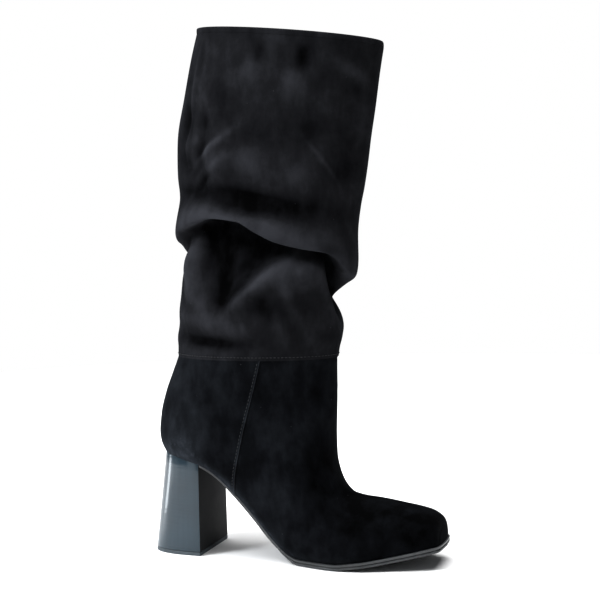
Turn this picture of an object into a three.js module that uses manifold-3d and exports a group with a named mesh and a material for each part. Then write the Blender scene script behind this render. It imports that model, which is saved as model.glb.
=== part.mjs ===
// Slouch boot: a suede foot on a square toed last, a slack shaft in rolls, and a lacquered block heel.
// Millimetres. +X runs towards the toe, +Z up, and -Y is the outer side of the boot.
// The origin lies on the floor under the middle of the heel.
import * as THREE from "three";
import { mergeVertices } from "three/addons/utils/BufferGeometryUtils.js";
import Module from "manifold-3d";

const wasm = await Module();
wasm.setup();

// Foot
const FOOT_LENGTH = 246;
const BALL_WIDTH = 86;
const TOE_WIDTH = 44;
const VAMP_HEIGHT = 51;
const TOE_SPRING = 14;
const LASTING_MARGIN = 9;
const UPPER_WALL = 2.2;
const SEAM_LAP = 0.8;

// Ankle seam
const QUARTER_RISE = 80;
const ANKLE_WIDTH = 78;

// Shaft
const SHAFT_HEIGHT = 262;
const SHAFT_LENGTH = 153;
const SHAFT_WIDTH = 78;
const SHAFT_LEAN = 32;
const SHAFT_WALL = 2.2;
const COLLAR_DROP = 20;
const BINDING_HEIGHT = 4.5;
const BINDING_WALL = 3.2;

// Heel
const HEEL_HEIGHT = 84;
const HEEL_LENGTH = 48;
const HEEL_WIDTH = 58;
const HEEL_CORNER = 3.2;
const TOP_PIECE = 3;

// Sole
const SOLE_THICKNESS = 5;
const WAIST_THICKNESS = 2.4;
const SOLE_MARGIN = 1.4;
const SOLE_GROOVE = 0.9;
const GROOVE_HEIGHT = 0.7;
const GROOVE_DROP = 2.1;
const INSOLE_THICKNESS = 2;

// Space between pieces that touch
const FIT = 0.3;

const SEAM_HEIGHT = HEEL_HEIGHT + QUARTER_RISE;
const BREAST = HEEL_LENGTH / 2;

// Turns rows of numbers into records whose fields have the names of the columns.
function table(columns, rows) {
  return rows.map((row) => Object.fromEntries(columns.map((name, i) => [name, row[i]])));
}

// Smooth curve through values at rising places, with no overshoot between two of them.
function smoothCurve(places, values) {
  const steps = places.slice(1).map((p, i) => p - places[i]);
  const rates = steps.map((step, i) => (values[i + 1] - values[i]) / step);
  const slopes = values.map((_, i) => {
    if (i === 0) return rates[0];
    if (i === values.length - 1) return rates[i - 1];
    if (rates[i - 1] * rates[i] <= 0) return 0;
    const before = 2 * steps[i] + steps[i - 1];
    const after = steps[i] + 2 * steps[i - 1];
    return (before + after) / (before / rates[i - 1] + after / rates[i]);
  });
  return (place) => {
    let i = 0;
    while (i < steps.length - 1 && place > places[i + 1]) i += 1;
    const t = (place - places[i]) / steps[i];
    if (t <= 0) return values[i] + slopes[i] * t * steps[i];
    if (t >= 1) return values[i + 1] + slopes[i + 1] * (t - 1) * steps[i];
    const rise = values[i + 1] - values[i];
    const bend = (3 - 2 * t) * t * t;
    return values[i] + rise * bend + steps[i] * t * (1 - t) * (slopes[i] * (1 - t) - slopes[i + 1] * t);
  };
}

// Feather line, where the upper meets sole and heel, from behind the heel to past the toe.
// x is a share of the foot length; the height adds shares of heel height, sole thickness and toe spring.
const FEATHER = table(
  ["x", "heel", "sole", "spring"],
  [
    [-0.14, 1.06, 0, 0],
    [-0.07, 1.022, 0, 0],
    [0.0, 0.978, 0, 0],
    [0.1, 0.905, 0, 0],
    [0.163, 0.785, 0, 0],
    [0.224, 0.615, 0, 0],
    [0.293, 0.392, 0, 0],
    [0.346, 0.2, 0.35, 0],
    [0.398, 0.055, 0.8, 0],
    [0.45, 0, 1, 0],
    [0.57, 0, 1, 0],
    [0.65, 0, 1, 0.16],
    [0.732, 0, 1, 0.4],
    [0.813, 0, 1, 0.68],
    [0.9, 0, 1, 1],
    [0.96, 0, 1, 1.2],
  ],
);
const featherCurve = smoothCurve(
  FEATHER.map((row) => row.x * FOOT_LENGTH),
  FEATHER.map((row) => row.heel * HEEL_HEIGHT + row.sole * SOLE_THICKNESS + row.spring * TOE_SPRING),
);

// Sections of the foot, fanned from upright at the toe to level at the ankle seam.
// Each runs from a low point under the foot or behind the heel to a top point on vamp or shin.
// lowX and topX are shares of the foot length. The low point lies lap lasting margins under the
// feather line and rise quarter rises over it. The top point adds a share of the vamp height and
// a share of the climb from vamp to seam. The half width adds shares of toe, ball and ankle width,
// skew moves the section inwards by a share of the ball width, wide is where along the section it
// is widest, and crown and keel square its top and its bottom.
const FOOT = table(
  ["lowX", "lap", "rise", "topX", "vamp", "climb", "toe", "ball", "ankle", "skew", "wide", "crown", "keel"],
  [
    [0.9, 0.35, 0, 0.898, 0.58, 0, 0.34, 0, 0, 0.006, 0.5, 2.4, 2.6],
    [0.897, 0.75, 0, 0.892, 0.69, 0, 0.43, 0, 0, 0.007, 0.5, 2.4, 2.6],
    [0.888, 1, 0, 0.878, 0.765, 0, 0.49, 0, 0, 0.008, 0.48, 2.4, 2.6],
    [0.865, 1.1, 0, 0.855, 0.825, 0, 0.4, 0.08, 0, 0.01, 0.46, 2.3, 2.6],
    [0.825, 1.1, 0, 0.815, 0.87, 0, 0.2, 0.235, 0, 0.014, 0.42, 2.2, 2.6],
    [0.77, 1.1, 0, 0.762, 0.91, 0, 0.06, 0.36, 0, 0.016, 0.39, 2.1, 2.6],
    [0.71, 1.1, 0, 0.706, 0.955, 0, 0, 0.448, 0, 0.01, 0.37, 2, 2.6],
    [0.65, 1.1, 0, 0.65, 0.985, 0, 0, 0.487, 0, 0, 0.36, 1.95, 2.6],
    [0.585, 1.1, 0, 0.596, 1, 0.018, 0, 0.495, 0, -0.012, 0.36, 1.9, 2.6],
    [0.51, 1, 0, 0.563, 1, 0.09, 0, 0.48, 0, -0.022, 0.38, 1.9, 2.7],
    [0.43, 0.9, 0, 0.546, 1, 0.2, 0, 0.3, 0.17, -0.024, 0.43, 1.9, 2.8],
    [0.35, 0.8, 0, 0.54, 1, 0.31, 0, 0.12, 0.34, -0.02, 0.48, 1.95, 2.9],
    [0.27, 0.8, 0, 0.541, 1, 0.43, 0, 0, 0.465, -0.014, 0.5, 2, 2.95],
    [0.185, 0.85, 0, 0.544, 1, 0.535, 0, 0, 0.465, -0.008, 0.5, 2, 3],
    [0.1, 0.9, 0, 0.547, 1, 0.63, 0, 0, 0.465, 0, 0.49, 2, 3],
    [0.02, 0.85, 0, 0.549, 1, 0.7, 0, 0, 0.465, 0, 0.47, 2, 2.9],
    [-0.04, 0.5, 0, 0.55, 1, 0.75, 0, 0, 0.467, 0, 0.46, 2, 2.6],
    [-0.066, 0, 0.035, 0.551, 1, 0.79, 0, 0, 0.47, 0, 0.45, 2, 2.4],
    [-0.076, 0, 0.17, 0.551, 1, 0.83, 0, 0, 0.473, 0, 0.45, 2, 2.25],
    [-0.07, 0, 0.36, 0.551, 1, 0.87, 0, 0, 0.48, 0, 0.45, 2, 2.15],
    [-0.05, 0, 0.6, 0.551, 1, 0.915, 0, 0, 0.488, 0, 0.46, 2, 2.1],
    [-0.024, 0, 0.82, 0.551, 1, 0.96, 0, 0, 0.495, 0, 0.48, 2, 2.05],
    [-0.001, 0, 1.015, 0.551, 1, 1, 0, 0, 0.5, 0, 0.5, 2, 2],
    [0.005, 0, 1.1, 0.551, 1, 1.06, 0, 0, 0.5, 0, 0.5, 2, 2],
  ],
);
const SEAM_ROW = 22;
const FOOT_COLUMNS = 32;

const footCurves = {};
for (const name of Object.keys(FOOT[0])) {
  footCurves[name] = smoothCurve(FOOT.map((_, i) => i), FOOT.map((row) => row[name]));
}

// The foot's section at a place in the table, as lengths.
function footSection(place) {
  const share = (name) => footCurves[name](place);
  const lowX = share("lowX") * FOOT_LENGTH;
  const half = share("toe") * TOE_WIDTH + share("ball") * BALL_WIDTH + share("ankle") * ANKLE_WIDTH;
  const skew = share("skew") * BALL_WIDTH;
  return {
    low: [lowX, featherCurve(lowX) - share("lap") * LASTING_MARGIN + share("rise") * QUARTER_RISE],
    top: [
      share("topX") * FOOT_LENGTH,
      share("vamp") * VAMP_HEIGHT + share("climb") * (SEAM_HEIGHT - VAMP_HEIGHT),
    ],
    outer: half - skew,
    inner: half + skew,
    wide: share("wide"),
    crown: share("crown"),
    keel: share("keel"),
  };
}

// Point of a section at an angle: 0 is the top or front, a quarter turn the outer side.
function sectionPoint(section, angle) {
  const ahead = Math.cos(angle);
  const aside = Math.sin(angle);
  const power = 2 / (ahead > 0 ? section.crown : section.keel);
  const reach = Math.abs(ahead) ** power;
  const along = ahead > 0 ? section.wide + (1 - section.wide) * reach : section.wide * (1 - reach);
  const half = (aside > 0 ? section.outer : section.inner) * Math.abs(aside) ** power;
  return new THREE.Vector3(
    section.low[0] + (section.top[0] - section.low[0]) * along,
    aside > 0 ? -half : half,
    section.low[1] + (section.top[1] - section.low[1]) * along,
  );
}

// Solid from a merged mesh, and back.
function solidFrom(positions, indices) {
  const geometry = new THREE.BufferGeometry();
  geometry.setAttribute("position", new THREE.Float32BufferAttribute(positions, 3));
  geometry.setIndex(indices);
  return solidOf(geometry);
}

function solidOf(geometry) {
  const bare = geometry.clone();
  bare.deleteAttribute("normal");
  bare.deleteAttribute("uv");
  const merged = mergeVertices(bare, 1e-4);
  return new wasm.Manifold(
    new wasm.Mesh({
      numProp: 3,
      vertProperties: new Float32Array(merged.attributes.position.array),
      triVerts: new Uint32Array(merged.index.array),
    }),
  );
}

function geometryOf(solid) {
  const mesh = solid.getMesh();
  const geometry = new THREE.BufferGeometry();
  geometry.setAttribute("position", new THREE.BufferAttribute(new Float32Array(mesh.vertProperties), 3));
  geometry.setIndex(new THREE.BufferAttribute(new Uint32Array(mesh.triVerts), 1));
  geometry.computeVertexNormals();
  return geometry;
}

// Unit normals of a net of rings that close on themselves, facing out.
function netNormals(net) {
  return net.map((ring, i) =>
    ring.map((_, j) => {
      const along = net[Math.min(i + 1, net.length - 1)][j].clone().sub(net[Math.max(i - 1, 0)][j]);
      const around = ring[(j + 1) % ring.length].clone().sub(ring[(j + ring.length - 1) % ring.length]);
      return along.cross(around).normalize();
    }),
  );
}

function shiftedNet(net, distance) {
  const normals = netNormals(net);
  return net.map((ring, i) => ring.map((p, j) => p.clone().addScaledVector(normals[i][j], distance)));
}

// Closed solid between the first and the last ring of a net.
function netSolid(net) {
  const around = net[0].length;
  const positions = net.flat().flatMap((p) => [p.x, p.y, p.z]);
  const indices = [];
  for (let i = 0; i < net.length - 1; i += 1) {
    for (let j = 0; j < around; j += 1) {
      const a = i * around + j;
      const b = i * around + ((j + 1) % around);
      indices.push(a, b, a + around, b, b + around, a + around);
    }
  }
  for (const [ring, first] of [[net[0], 0], [net[net.length - 1], (net.length - 1) * around]]) {
    const middle = ring.reduce((sum, p) => sum.add(p), new THREE.Vector3()).divideScalar(around);
    const centre = positions.length / 3;
    positions.push(middle.x, middle.y, middle.z);
    for (let j = 0; j < around; j += 1) {
      const next = first + ((j + 1) % around);
      indices.push(...(first === 0 ? [centre, next, j] : [centre, first + j, next]));
    }
  }
  return facingOut(solidFrom(positions, indices), () => solidFrom(positions, flipped(indices)));
}

// Closed wall between an outer and an inner net with the same rings and columns.
function wallSolid(outerNet, innerNet) {
  const around = outerNet[0].length;
  const rings = outerNet.length;
  const positions = [...outerNet.flat(), ...innerNet.flat()].flatMap((p) => [p.x, p.y, p.z]);
  const indices = [];
  const quad = (a, b, c, d) => indices.push(a, b, c, a, c, d);
  const outerAt = (i, j) => i * around + (j % around);
  const innerAt = (i, j) => rings * around + outerAt(i, j);
  for (let j = 0; j < around; j += 1) {
    for (let i = 0; i < rings - 1; i += 1) {
      quad(outerAt(i, j), outerAt(i, j + 1), outerAt(i + 1, j + 1), outerAt(i + 1, j));
      quad(innerAt(i, j + 1), innerAt(i, j), innerAt(i + 1, j), innerAt(i + 1, j + 1));
    }
    quad(innerAt(0, j), innerAt(0, j + 1), outerAt(0, j + 1), outerAt(0, j));
    const last = rings - 1;
    quad(outerAt(last, j), outerAt(last, j + 1), innerAt(last, j + 1), innerAt(last, j));
  }
  return facingOut(solidFrom(positions, indices), () => solidFrom(positions, flipped(indices)));
}

function flipped(indices) {
  const turned = [];
  for (let i = 0; i < indices.length; i += 3) turned.push(indices[i], indices[i + 2], indices[i + 1]);
  return turned;
}

function facingOut(solid, turnedSolid) {
  return solid.volume() > 0 ? solid : turnedSolid();
}

// Prism of a side view, [x, z] points, across the whole width.
function sidePrism(points) {
  const shape = new THREE.Shape(points.map(([x, z]) => new THREE.Vector2(x, z)));
  const depth = 3 * BALL_WIDTH;
  const geometry = new THREE.ExtrudeGeometry(shape, { depth, bevelEnabled: false });
  geometry.rotateX(Math.PI / 2);
  geometry.translate(0, depth / 2, 0);
  return solidOf(geometry);
}

// Prism of a plan view, [x, y] points, from low to high.
function planPrism(points, low, high) {
  const shape = new THREE.Shape(points.map(([x, y]) => new THREE.Vector2(x, y)));
  const geometry = new THREE.ExtrudeGeometry(shape, { depth: high - low, bevelEnabled: false });
  geometry.translate(0, 0, low);
  return solidOf(geometry);
}

// Reach of the cutting shapes past the boot.
const FAR_BACK = FEATHER[0].x * FOOT_LENGTH;
const FAR_FRONT = FEATHER[FEATHER.length - 1].x * FOOT_LENGTH;
const FAR_DOWN = -HEEL_HEIGHT;
const FAR_UP = 2 * SEAM_HEIGHT;
const PROFILE_STEPS = 36;

// The feather line as [x, z] points from a place to the far front, raised by a height that may vary.
// Every line shares its places between the ends, so that pieces on both sides of it run alike.
function featherPoints(from, raised) {
  const places = Array.from(
    { length: PROFILE_STEPS + 1 },
    (_, i) => FAR_BACK + ((FAR_FRONT - FAR_BACK) * i) / PROFILE_STEPS,
  );
  return [from, ...places.filter((x) => x > from)].map((x) => [x, featherCurve(x) + raised(x)]);
}

function belowFeather(raised) {
  const line = featherPoints(FAR_BACK, () => raised);
  return sidePrism([...line, [FAR_FRONT, FAR_DOWN], [FAR_BACK, FAR_DOWN]]);
}

// Level layer under and over the whole boot.
function slab(low, high) {
  return sidePrism([[FAR_BACK, low], [FAR_FRONT, low], [FAR_FRONT, high], [FAR_BACK, high]]);
}

// Foot upper
const footNet = [];
for (let row = 0; row < FOOT.length; row += 1) {
  const section = footSection(row);
  footNet.push(
    Array.from({ length: FOOT_COLUMNS }, (_, j) => sectionPoint(section, (2 * Math.PI * j) / FOOT_COLUMNS)),
  );
}
// Front edge of the quarters, down the side seam: shares of the foot length and of the seam height.
const SIDE_SEAM = table(
  ["x", "height"],
  [
    [0.345, 1],
    [0.269, 0.6],
    [0.225, 0.256],
    [0.225, 0],
  ],
);
const quarterSide = sidePrism([
  [SIDE_SEAM[0].x * FOOT_LENGTH, FAR_UP],
  ...SIDE_SEAM.map((row) => [row.x * FOOT_LENGTH, row.height * SEAM_HEIGHT]),
  [FAR_BACK, 0],
  [FAR_BACK, FAR_UP],
]);
const vampForm = netSolid(footNet);
const quarterForm = netSolid(shiftedNet(footNet, SEAM_LAP)).intersect(quarterSide);
const footHollow = netSolid(shiftedNet(footNet, -UPPER_WALL));
const aboveSeam = slab(SEAM_HEIGHT - FIT / 2, FAR_UP);
const footUpper = vampForm
  .add(quarterForm)
  .subtract(footHollow)
  .subtract(belowFeather(FIT / 2))
  .subtract(aboveSeam);

// Steps of the searches that halve a span.
const HALVINGS = 40;

// Feather outline: where the sections of the foot cross the feather line on each side.
function featherCrossing(section, side) {
  const over = (turn) => {
    const p = sectionPoint(section, side * turn);
    return p.z - featherCurve(p.x);
  };
  let above = Math.PI / 2;
  let below = Math.PI;
  if (over(below) > 0 || over(above) < 0) return null;
  for (let i = 0; i < HALVINGS; i += 1) {
    const middle = (above + below) / 2;
    if (over(middle) > 0) above = middle;
    else below = middle;
  }
  return sectionPoint(section, side * above);
}

// Where the line of low points rises through the feather line behind the heel.
function seatBack() {
  let under = 0;
  let over = SEAM_ROW;
  for (let i = 0; i < HALVINGS; i += 1) {
    const middle = (under + over) / 2;
    const { low } = footSection(middle);
    if (low[1] < featherCurve(low[0])) under = middle;
    else over = middle;
  }
  return { place: under, x: footSection(under).low[0] };
}

const seat = seatBack();
const OUTLINE_STEPS = 32;
function halfOutline(side) {
  const points = [];
  for (let i = 0; i <= OUTLINE_STEPS; i += 1) {
    const place = (seat.place * i) / OUTLINE_STEPS;
    const p = featherCrossing(footSection(place), side);
    if (p && Math.abs(p.y) > FIT) points.push([p.x, p.y]);
  }
  return points;
}

const featherOutline = [...halfOutline(1), [seat.x, 0], ...halfOutline(-1).reverse()];

function distanceToEdge([x, y], [ax, ay], [bx, by]) {
  const length = Math.hypot(bx - ax, by - ay);
  const along = ((x - ax) * (bx - ax) + (y - ay) * (by - ay)) / length;
  const held = THREE.MathUtils.clamp(along / length, 0, 1);
  return Math.hypot(x - ax - (bx - ax) * held, y - ay - (by - ay) * held);
}

// The feather outline grown outwards by a margin. Points that come nearer to it than the margin,
// where the grown line folds over itself in a tight bend, are left out.
const OUTLINE_SLACK = 0.93;
function outline(margin) {
  const count = featherOutline.length;
  const grown = featherOutline.map((p, i) => {
    const before = featherOutline[(i + count - 1) % count];
    const after = featherOutline[(i + 1) % count];
    const run = Math.hypot(after[0] - before[0], after[1] - before[1]);
    const grow = margin(p[0]);
    return [p[0] - ((after[1] - before[1]) / run) * grow, p[1] + ((after[0] - before[0]) / run) * grow];
  });
  return grown.filter((p, i) => {
    const needed = OUTLINE_SLACK * Math.abs(margin(featherOutline[i][0]));
    const apart = (edge, k) => distanceToEdge(p, edge, featherOutline[(k + 1) % count]);
    return featherOutline.every((edge, k) => apart(edge, k) >= needed);
  });
}

// Outsole: two edge layers with a groove between them, from toe to heel breast.
// The thick part and its margin fade in over this stretch in front of the waist.
const BALL_START = 0.36 * FOOT_LENGTH;
const BALL_FULL = 0.45 * FOOT_LENGTH;
const GROOVE_START = 0.38 * FOOT_LENGTH;
function ballShare(x) {
  return THREE.MathUtils.smoothstep(x, BALL_START, BALL_FULL);
}

// Depth of sole under the feather line, measured upright.
const SLOPE_REACH = 0.2 * SOLE_THICKNESS;
function soleDepth(x) {
  const slope = (featherCurve(x + SLOPE_REACH) - featherCurve(x - SLOPE_REACH)) / (2 * SLOPE_REACH);
  const waist = WAIST_THICKNESS * Math.hypot(1, slope);
  return waist + (SOLE_THICKNESS - waist) * ballShare(x);
}

// Side prism of a layer of the sole, from a place on to the toe; top and bottom are depth shares.
function soleLayer(start, top, bottom) {
  const edge = (share) => featherPoints(start, (x) => -FIT / 2 - share * (soleDepth(x) - FIT / 2));
  return sidePrism([...edge(top), ...edge(bottom).reverse()]);
}

function solePlan(margin) {
  return planPrism(outline((x) => margin * ballShare(x)), FAR_DOWN, FAR_UP);
}

const grooveTop = GROOVE_DROP / SOLE_THICKNESS;
const grooveBottom = grooveTop + GROOVE_HEIGHT / SOLE_THICKNESS;
const groove = soleLayer(GROOVE_START, grooveTop, grooveBottom).subtract(solePlan(SOLE_MARGIN - SOLE_GROOVE));
const outsole = soleLayer(BREAST + FIT, 0, 1).intersect(solePlan(SOLE_MARGIN)).subtract(groove);

// Insole: inside the wall, resting on sole and heel.
const insole = netSolid(shiftedNet(footNet, -(UPPER_WALL + FIT))).intersect(
  sidePrism([
    ...featherPoints(FAR_BACK, () => FIT / 2),
    ...featherPoints(FAR_BACK, () => FIT / 2 + INSOLE_THICKNESS).reverse(),
  ]),
);

// Heel: ruled from the D shape on the floor up to the feather outline of the seat.
const HEEL_COLUMNS = 32;
function heelFoot(share) {
  const turn = Math.PI * (share - 0.5);
  const power = 2 / HEEL_CORNER;
  return [
    BREAST - HEEL_LENGTH * Math.abs(Math.cos(turn)) ** power,
    (HEEL_WIDTH / 2) * Math.sign(turn) * Math.abs(Math.sin(turn)) ** power,
  ];
}

const seatHalves = [1, -1].map((side) => {
  const half = [...halfOutline(side), [seat.x, 0]].reverse();
  return smoothCurve(
    half.map(([x]) => x),
    half.map(([, y]) => Math.abs(y)),
  );
});
function seatEdge(share) {
  const turn = Math.PI * (share - 0.5);
  const x = BREAST - (BREAST - seat.x) * Math.abs(Math.cos(turn)) ** (2 / HEEL_CORNER);
  const half = seatHalves[turn < 0 ? 0 : 1](x);
  return [x, Math.abs(turn) < 1e-9 ? 0 : Math.sign(turn) * half];
}

function heelRing(level) {
  return Array.from({ length: HEEL_COLUMNS + 1 }, (_, i) => {
    const share = i / HEEL_COLUMNS;
    const [footX, footY] = heelFoot(share);
    const [seatX, seatY] = seatEdge(share);
    const seatZ = featherCurve(seatX);
    return new THREE.Vector3(
      footX + (seatX - footX) * level,
      footY + (seatY - footY) * level,
      seatZ * level,
    );
  });
}

const PAST_SEAT = 1.12;
const heelForm = netSolid([heelRing(0), heelRing(0.5), heelRing(1), heelRing(PAST_SEAT)]);
const blockHeel = heelForm.intersect(belowFeather(-FIT / 2)).intersect(slab(TOP_PIECE + FIT, FAR_UP));
const heelTopPiece = heelForm.intersect(slab(0, TOP_PIECE));

// Shaft: rings from the ankle seam to the collar before they slouch.
// height is a share of the shaft height; length and width are shares of the shaft's own, and
// ankle shares blend them into the foot's last section.
const SHAFT = table(
  ["height", "ankle", "length", "width", "lean"],
  [
    [0, 1, 0, 0, 0],
    [0.06, 0.7, 0.3, 0.32, 0.05],
    [0.12, 0.4, 0.535, 0.62, 0.115],
    [0.2, 0.15, 0.775, 0.88, 0.17],
    [0.3, 0, 0.935, 1, 0.24],
    [0.38, 0, 0.965, 1.03, 0.31],
    [0.47, 0, 0.998, 1.04, 0.37],
    [0.56, 0, 1.04, 1.03, 0.45],
    [0.69, 0, 1.065, 1.02, 0.55],
    [0.81, 0, 1.052, 1.01, 0.735],
    [0.93, 0, 1.034, 1, 0.92],
    [1, 0, 1.02, 1, 1.05],
  ],
);
const shaftCurves = {};
for (const name of ["ankle", "length", "width", "lean"]) {
  shaftCurves[name] = smoothCurve(SHAFT.map((row) => row.height), SHAFT.map((row) => row[name]));
}

// Folds that run round the shaft, each along its own line of heights.
// turn is in degrees from the front, a quarter turn being the outer side; height is a share of the
// shaft height; push is the swell (a tuck when negative) and droop the fall, as shares of the shaft
// width; above and below are how far the fold reaches, as shares of the shaft height.
const FOLD_COLUMNS = ["turn", "height", "push", "droop", "above", "below"];
const MAIN_ROLL = [
  [0, 0.305, 0.065, 0.17, 0.1, 0.04],
  [30, 0.345, 0.06, 0.11, 0.09, 0.042],
  [60, 0.385, 0.07, 0.1, 0.075, 0.038],
  [90, 0.445, 0.09, 0.11, 0.05, 0.034],
  [110, 0.485, 0.1, 0.11, 0.04, 0.035],
  [135, 0.505, 0.09, 0.12, 0.045, 0.045],
  [160, 0.44, 0.06, 0.12, 0.05, 0.045],
  [180, 0.395, 0.04, 0.11, 0.05, 0.035],
  [225, 0.38, 0.08, 0.11, 0.07, 0.032],
  [270, 0.41, 0.09, 0.11, 0.07, 0.032],
  [315, 0.36, 0.09, 0.13, 0.08, 0.032],
];
const MAIN_TUCK = [
  [0, 0.185, -0.125, 0, 0.042, 0.05],
  [25, 0.235, -0.07, 0, 0.04, 0.04],
  [50, 0.305, -0.05, 0, 0.04, 0.04],
  [80, 0.33, -0.15, 0, 0.045, 0.055],
  [108, 0.33, -0.21, 0, 0.075, 0.1],
  [140, 0.36, -0.1, 0, 0.04, 0.06],
  [165, 0.33, -0.08, 0, 0.04, 0.06],
  [180, 0.295, -0.1, 0, 0.035, 0.05],
  [230, 0.27, -0.12, 0, 0.045, 0.06],
  [275, 0.295, -0.14, 0, 0.045, 0.07],
  [325, 0.22, -0.12, 0, 0.04, 0.045],
];
const UPPER_TROUGH = [
  [0, 0.45, 0.01, 0, 0.07, 0.05],
  [60, 0.47, -0.05, 0, 0.055, 0.045],
  [100, 0.53, -0.07, 0, 0.04, 0.03],
  [130, 0.56, -0.04, 0, 0.035, 0.03],
  [180, 0.5, -0.01, 0, 0.05, 0.04],
  [240, 0.47, -0.05, 0, 0.06, 0.05],
  [300, 0.47, -0.02, 0, 0.06, 0.05],
];
const LOW_PILLOW = [
  [0, 0.11, 0.03, 0.02, 0.04, 0.035],
  [60, 0.13, 0.02, 0.02, 0.06, 0.05],
  [105, 0.11, 0.03, 0.01, 0.04, 0.03],
  [150, 0.13, 0.03, 0.02, 0.05, 0.04],
  [210, 0.14, 0.04, 0.03, 0.06, 0.05],
  [290, 0.15, 0.05, 0.03, 0.07, 0.06],
];
const FOLDS = [MAIN_ROLL, MAIN_TUCK, UPPER_TROUGH, LOW_PILLOW];
// Dents and swells with two ends: around is their reach in degrees, up their reach in height, and
// slant how much their line climbs over a quarter turn; push is as above.
const DENTS = table(
  ["turn", "height", "around", "up", "slant", "push"],
  [
    [56, 0.262, 25, 0.058, -0.1, 0.1],
    [84, 0.215, 20, 0.035, -0.3, 0.06],
    [24, 0.265, 16, 0.04, 0.1, -0.01],
    [62, 0.1, 10, 0.06, 0.6, 0.04],
    [134, 0.29, 10, 0.08, 0, 0.09],
    [107, 0.24, 8, 0.09, 0, -0.06],
    [128, 0.125, 26, 0.025, 0.08, 0.03],
    [116, 0.05, 28, 0.02, 0.05, -0.05],
    [146, 0.72, 10, 0.06, 0.1, -0.07],
    [112, 0.62, 18, 0.045, 0, 0.05],
    [142, 0.6, 14, 0.04, 0.15, -0.05],
    [84, 0.93, 7, 0.05, 0, -0.035],
    [68, 0.92, 6, 0.045, 0, -0.03],
    [230, 0.68, 22, 0.07, -0.1, -0.06],
    [262, 0.58, 22, 0.06, 0.1, 0.05],
    [285, 0.9, 14, 0.07, 0, -0.03],
    [300, 0.25, 18, 0.06, 0.2, 0.07],
  ],
);

// Curve that closes on itself, through values at turns in degrees.
function closedCurve(turns, values) {
  const last = turns.length - 1;
  return smoothCurve(
    [turns[last] - 360, ...turns, turns[0] + 360, turns[1] + 360],
    [values[last], ...values, values[0], values[1]],
  );
}

const folds = FOLDS.map((rows) => {
  const turns = rows.map((row) => row[0]);
  const curves = {};
  FOLD_COLUMNS.forEach((name, i) => {
    if (i > 0) curves[name] = closedCurve(turns, rows.map((row) => row[i]));
  });
  return curves;
});

const SEAM_FADE = 0.06;
const COLLAR_FADE = 0.04;
const seamSection = footSection(SEAM_ROW);

// How far the cloth is pushed out and how far it falls, at a height share and a turn.
function slouch(height, turn) {
  let push = 0;
  let droop = 0;
  for (const fold of folds) {
    const off = height - fold.height(turn);
    const reach = off > 0 ? fold.above(turn) : fold.below(turn);
    const swell = Math.exp(-((off / reach) ** 2));
    push += fold.push(turn) * swell;
    droop += fold.droop(turn) * swell;
  }
  for (const dent of DENTS) {
    const aside = ((turn - dent.turn + 540) % 360) - 180;
    const line = dent.height + (dent.slant * aside) / 90;
    push += dent.push * Math.exp(-((aside / dent.around) ** 2) - ((height - line) / dent.up) ** 2);
  }
  const held =
    THREE.MathUtils.smoothstep(height, 0, SEAM_FADE) * THREE.MathUtils.smoothstep(1 - height, 0, COLLAR_FADE);
  return { push: push * held * SHAFT_WIDTH, droop: droop * held * SHAFT_WIDTH };
}

const seamMiddle = (seamSection.low[0] + seamSection.top[0]) / 2;
const seamHalf = (seamSection.top[0] - seamSection.low[0]) / 2;
const seamHalfWidth = (seamSection.outer + seamSection.inner) / 2;
function shaftPoint(height, turn) {
  const angle = THREE.MathUtils.degToRad(turn);
  const share = (name) => shaftCurves[name](height);
  const half = share("ankle") * seamHalf + (share("length") * SHAFT_LENGTH) / 2;
  const halfWidth = share("ankle") * seamHalfWidth + (share("width") * SHAFT_WIDTH) / 2;
  const middle = seamMiddle + share("lean") * SHAFT_LEAN;
  const { push, droop } = slouch(height, turn);
  const out = new THREE.Vector2(Math.cos(angle) * halfWidth, -Math.sin(angle) * half).normalize();
  const x = middle + Math.cos(angle) * half + out.x * push;
  const y = -Math.sin(angle) * halfWidth + out.y * push;
  const tilt = height * COLLAR_DROP * ((x - middle) / SHAFT_LENGTH + 0.5);
  return new THREE.Vector3(x, y, SEAM_HEIGHT + FIT / 2 + height * SHAFT_HEIGHT - tilt - droop);
}

const SHAFT_TURNS = 48;
const SHAFT_RINGS = [
  0, 0.03, 0.06, 0.09, 0.12, 0.15, 0.18, 0.205, 0.23, 0.255, 0.28, 0.3, 0.32, 0.34, 0.36,
  0.38, 0.4, 0.42, 0.44, 0.46, 0.485, 0.51, 0.54, 0.58, 0.63, 0.69, 0.77, 0.85, 0.92, 1,
];
function shaftNet(heights) {
  return heights.map((height) =>
    Array.from({ length: SHAFT_TURNS }, (_, j) => shaftPoint(height, (360 * j) / SHAFT_TURNS)),
  );
}

const shaftOuter = shaftNet(SHAFT_RINGS);
const shaftInner = shiftedNet(shaftOuter, -SHAFT_WALL);
for (const ring of [0, SHAFT_RINGS.length - 1]) {
  shaftInner[ring].forEach((p, j) => {
    p.z = shaftOuter[ring][j].z;
  });
}
const slouchShaft = wallSolid(shaftOuter, shaftInner);

// Collar binding: a rim that carries on past the shaft, a little thicker than its wall.
const bindingProud = (BINDING_WALL - SHAFT_WALL) / 2;
const rimHeights = [1 + FIT / SHAFT_HEIGHT, 1 + (FIT + BINDING_HEIGHT) / SHAFT_HEIGHT];
const rimNet = shaftNet(rimHeights);
const rimOuter = shiftedNet(rimNet, bindingProud);
const rimInner = shiftedNet(rimNet, bindingProud - BINDING_WALL);
for (const ring of [0, 1]) {
  for (const net of [rimOuter, rimInner]) {
    net[ring].forEach((p, j) => {
      p.z = rimNet[ring][j].z;
    });
  }
}
const collarBinding = wallSolid(rimOuter, rimInner);

const boot = new THREE.Group();
function addPiece(name, solid, color, roughness) {
  const mesh = new THREE.Mesh(
    geometryOf(solid),
    new THREE.MeshStandardMaterial({ color, roughness, metalness: 0 }),
  );
  mesh.name = name;
  boot.add(mesh);
}

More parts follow.
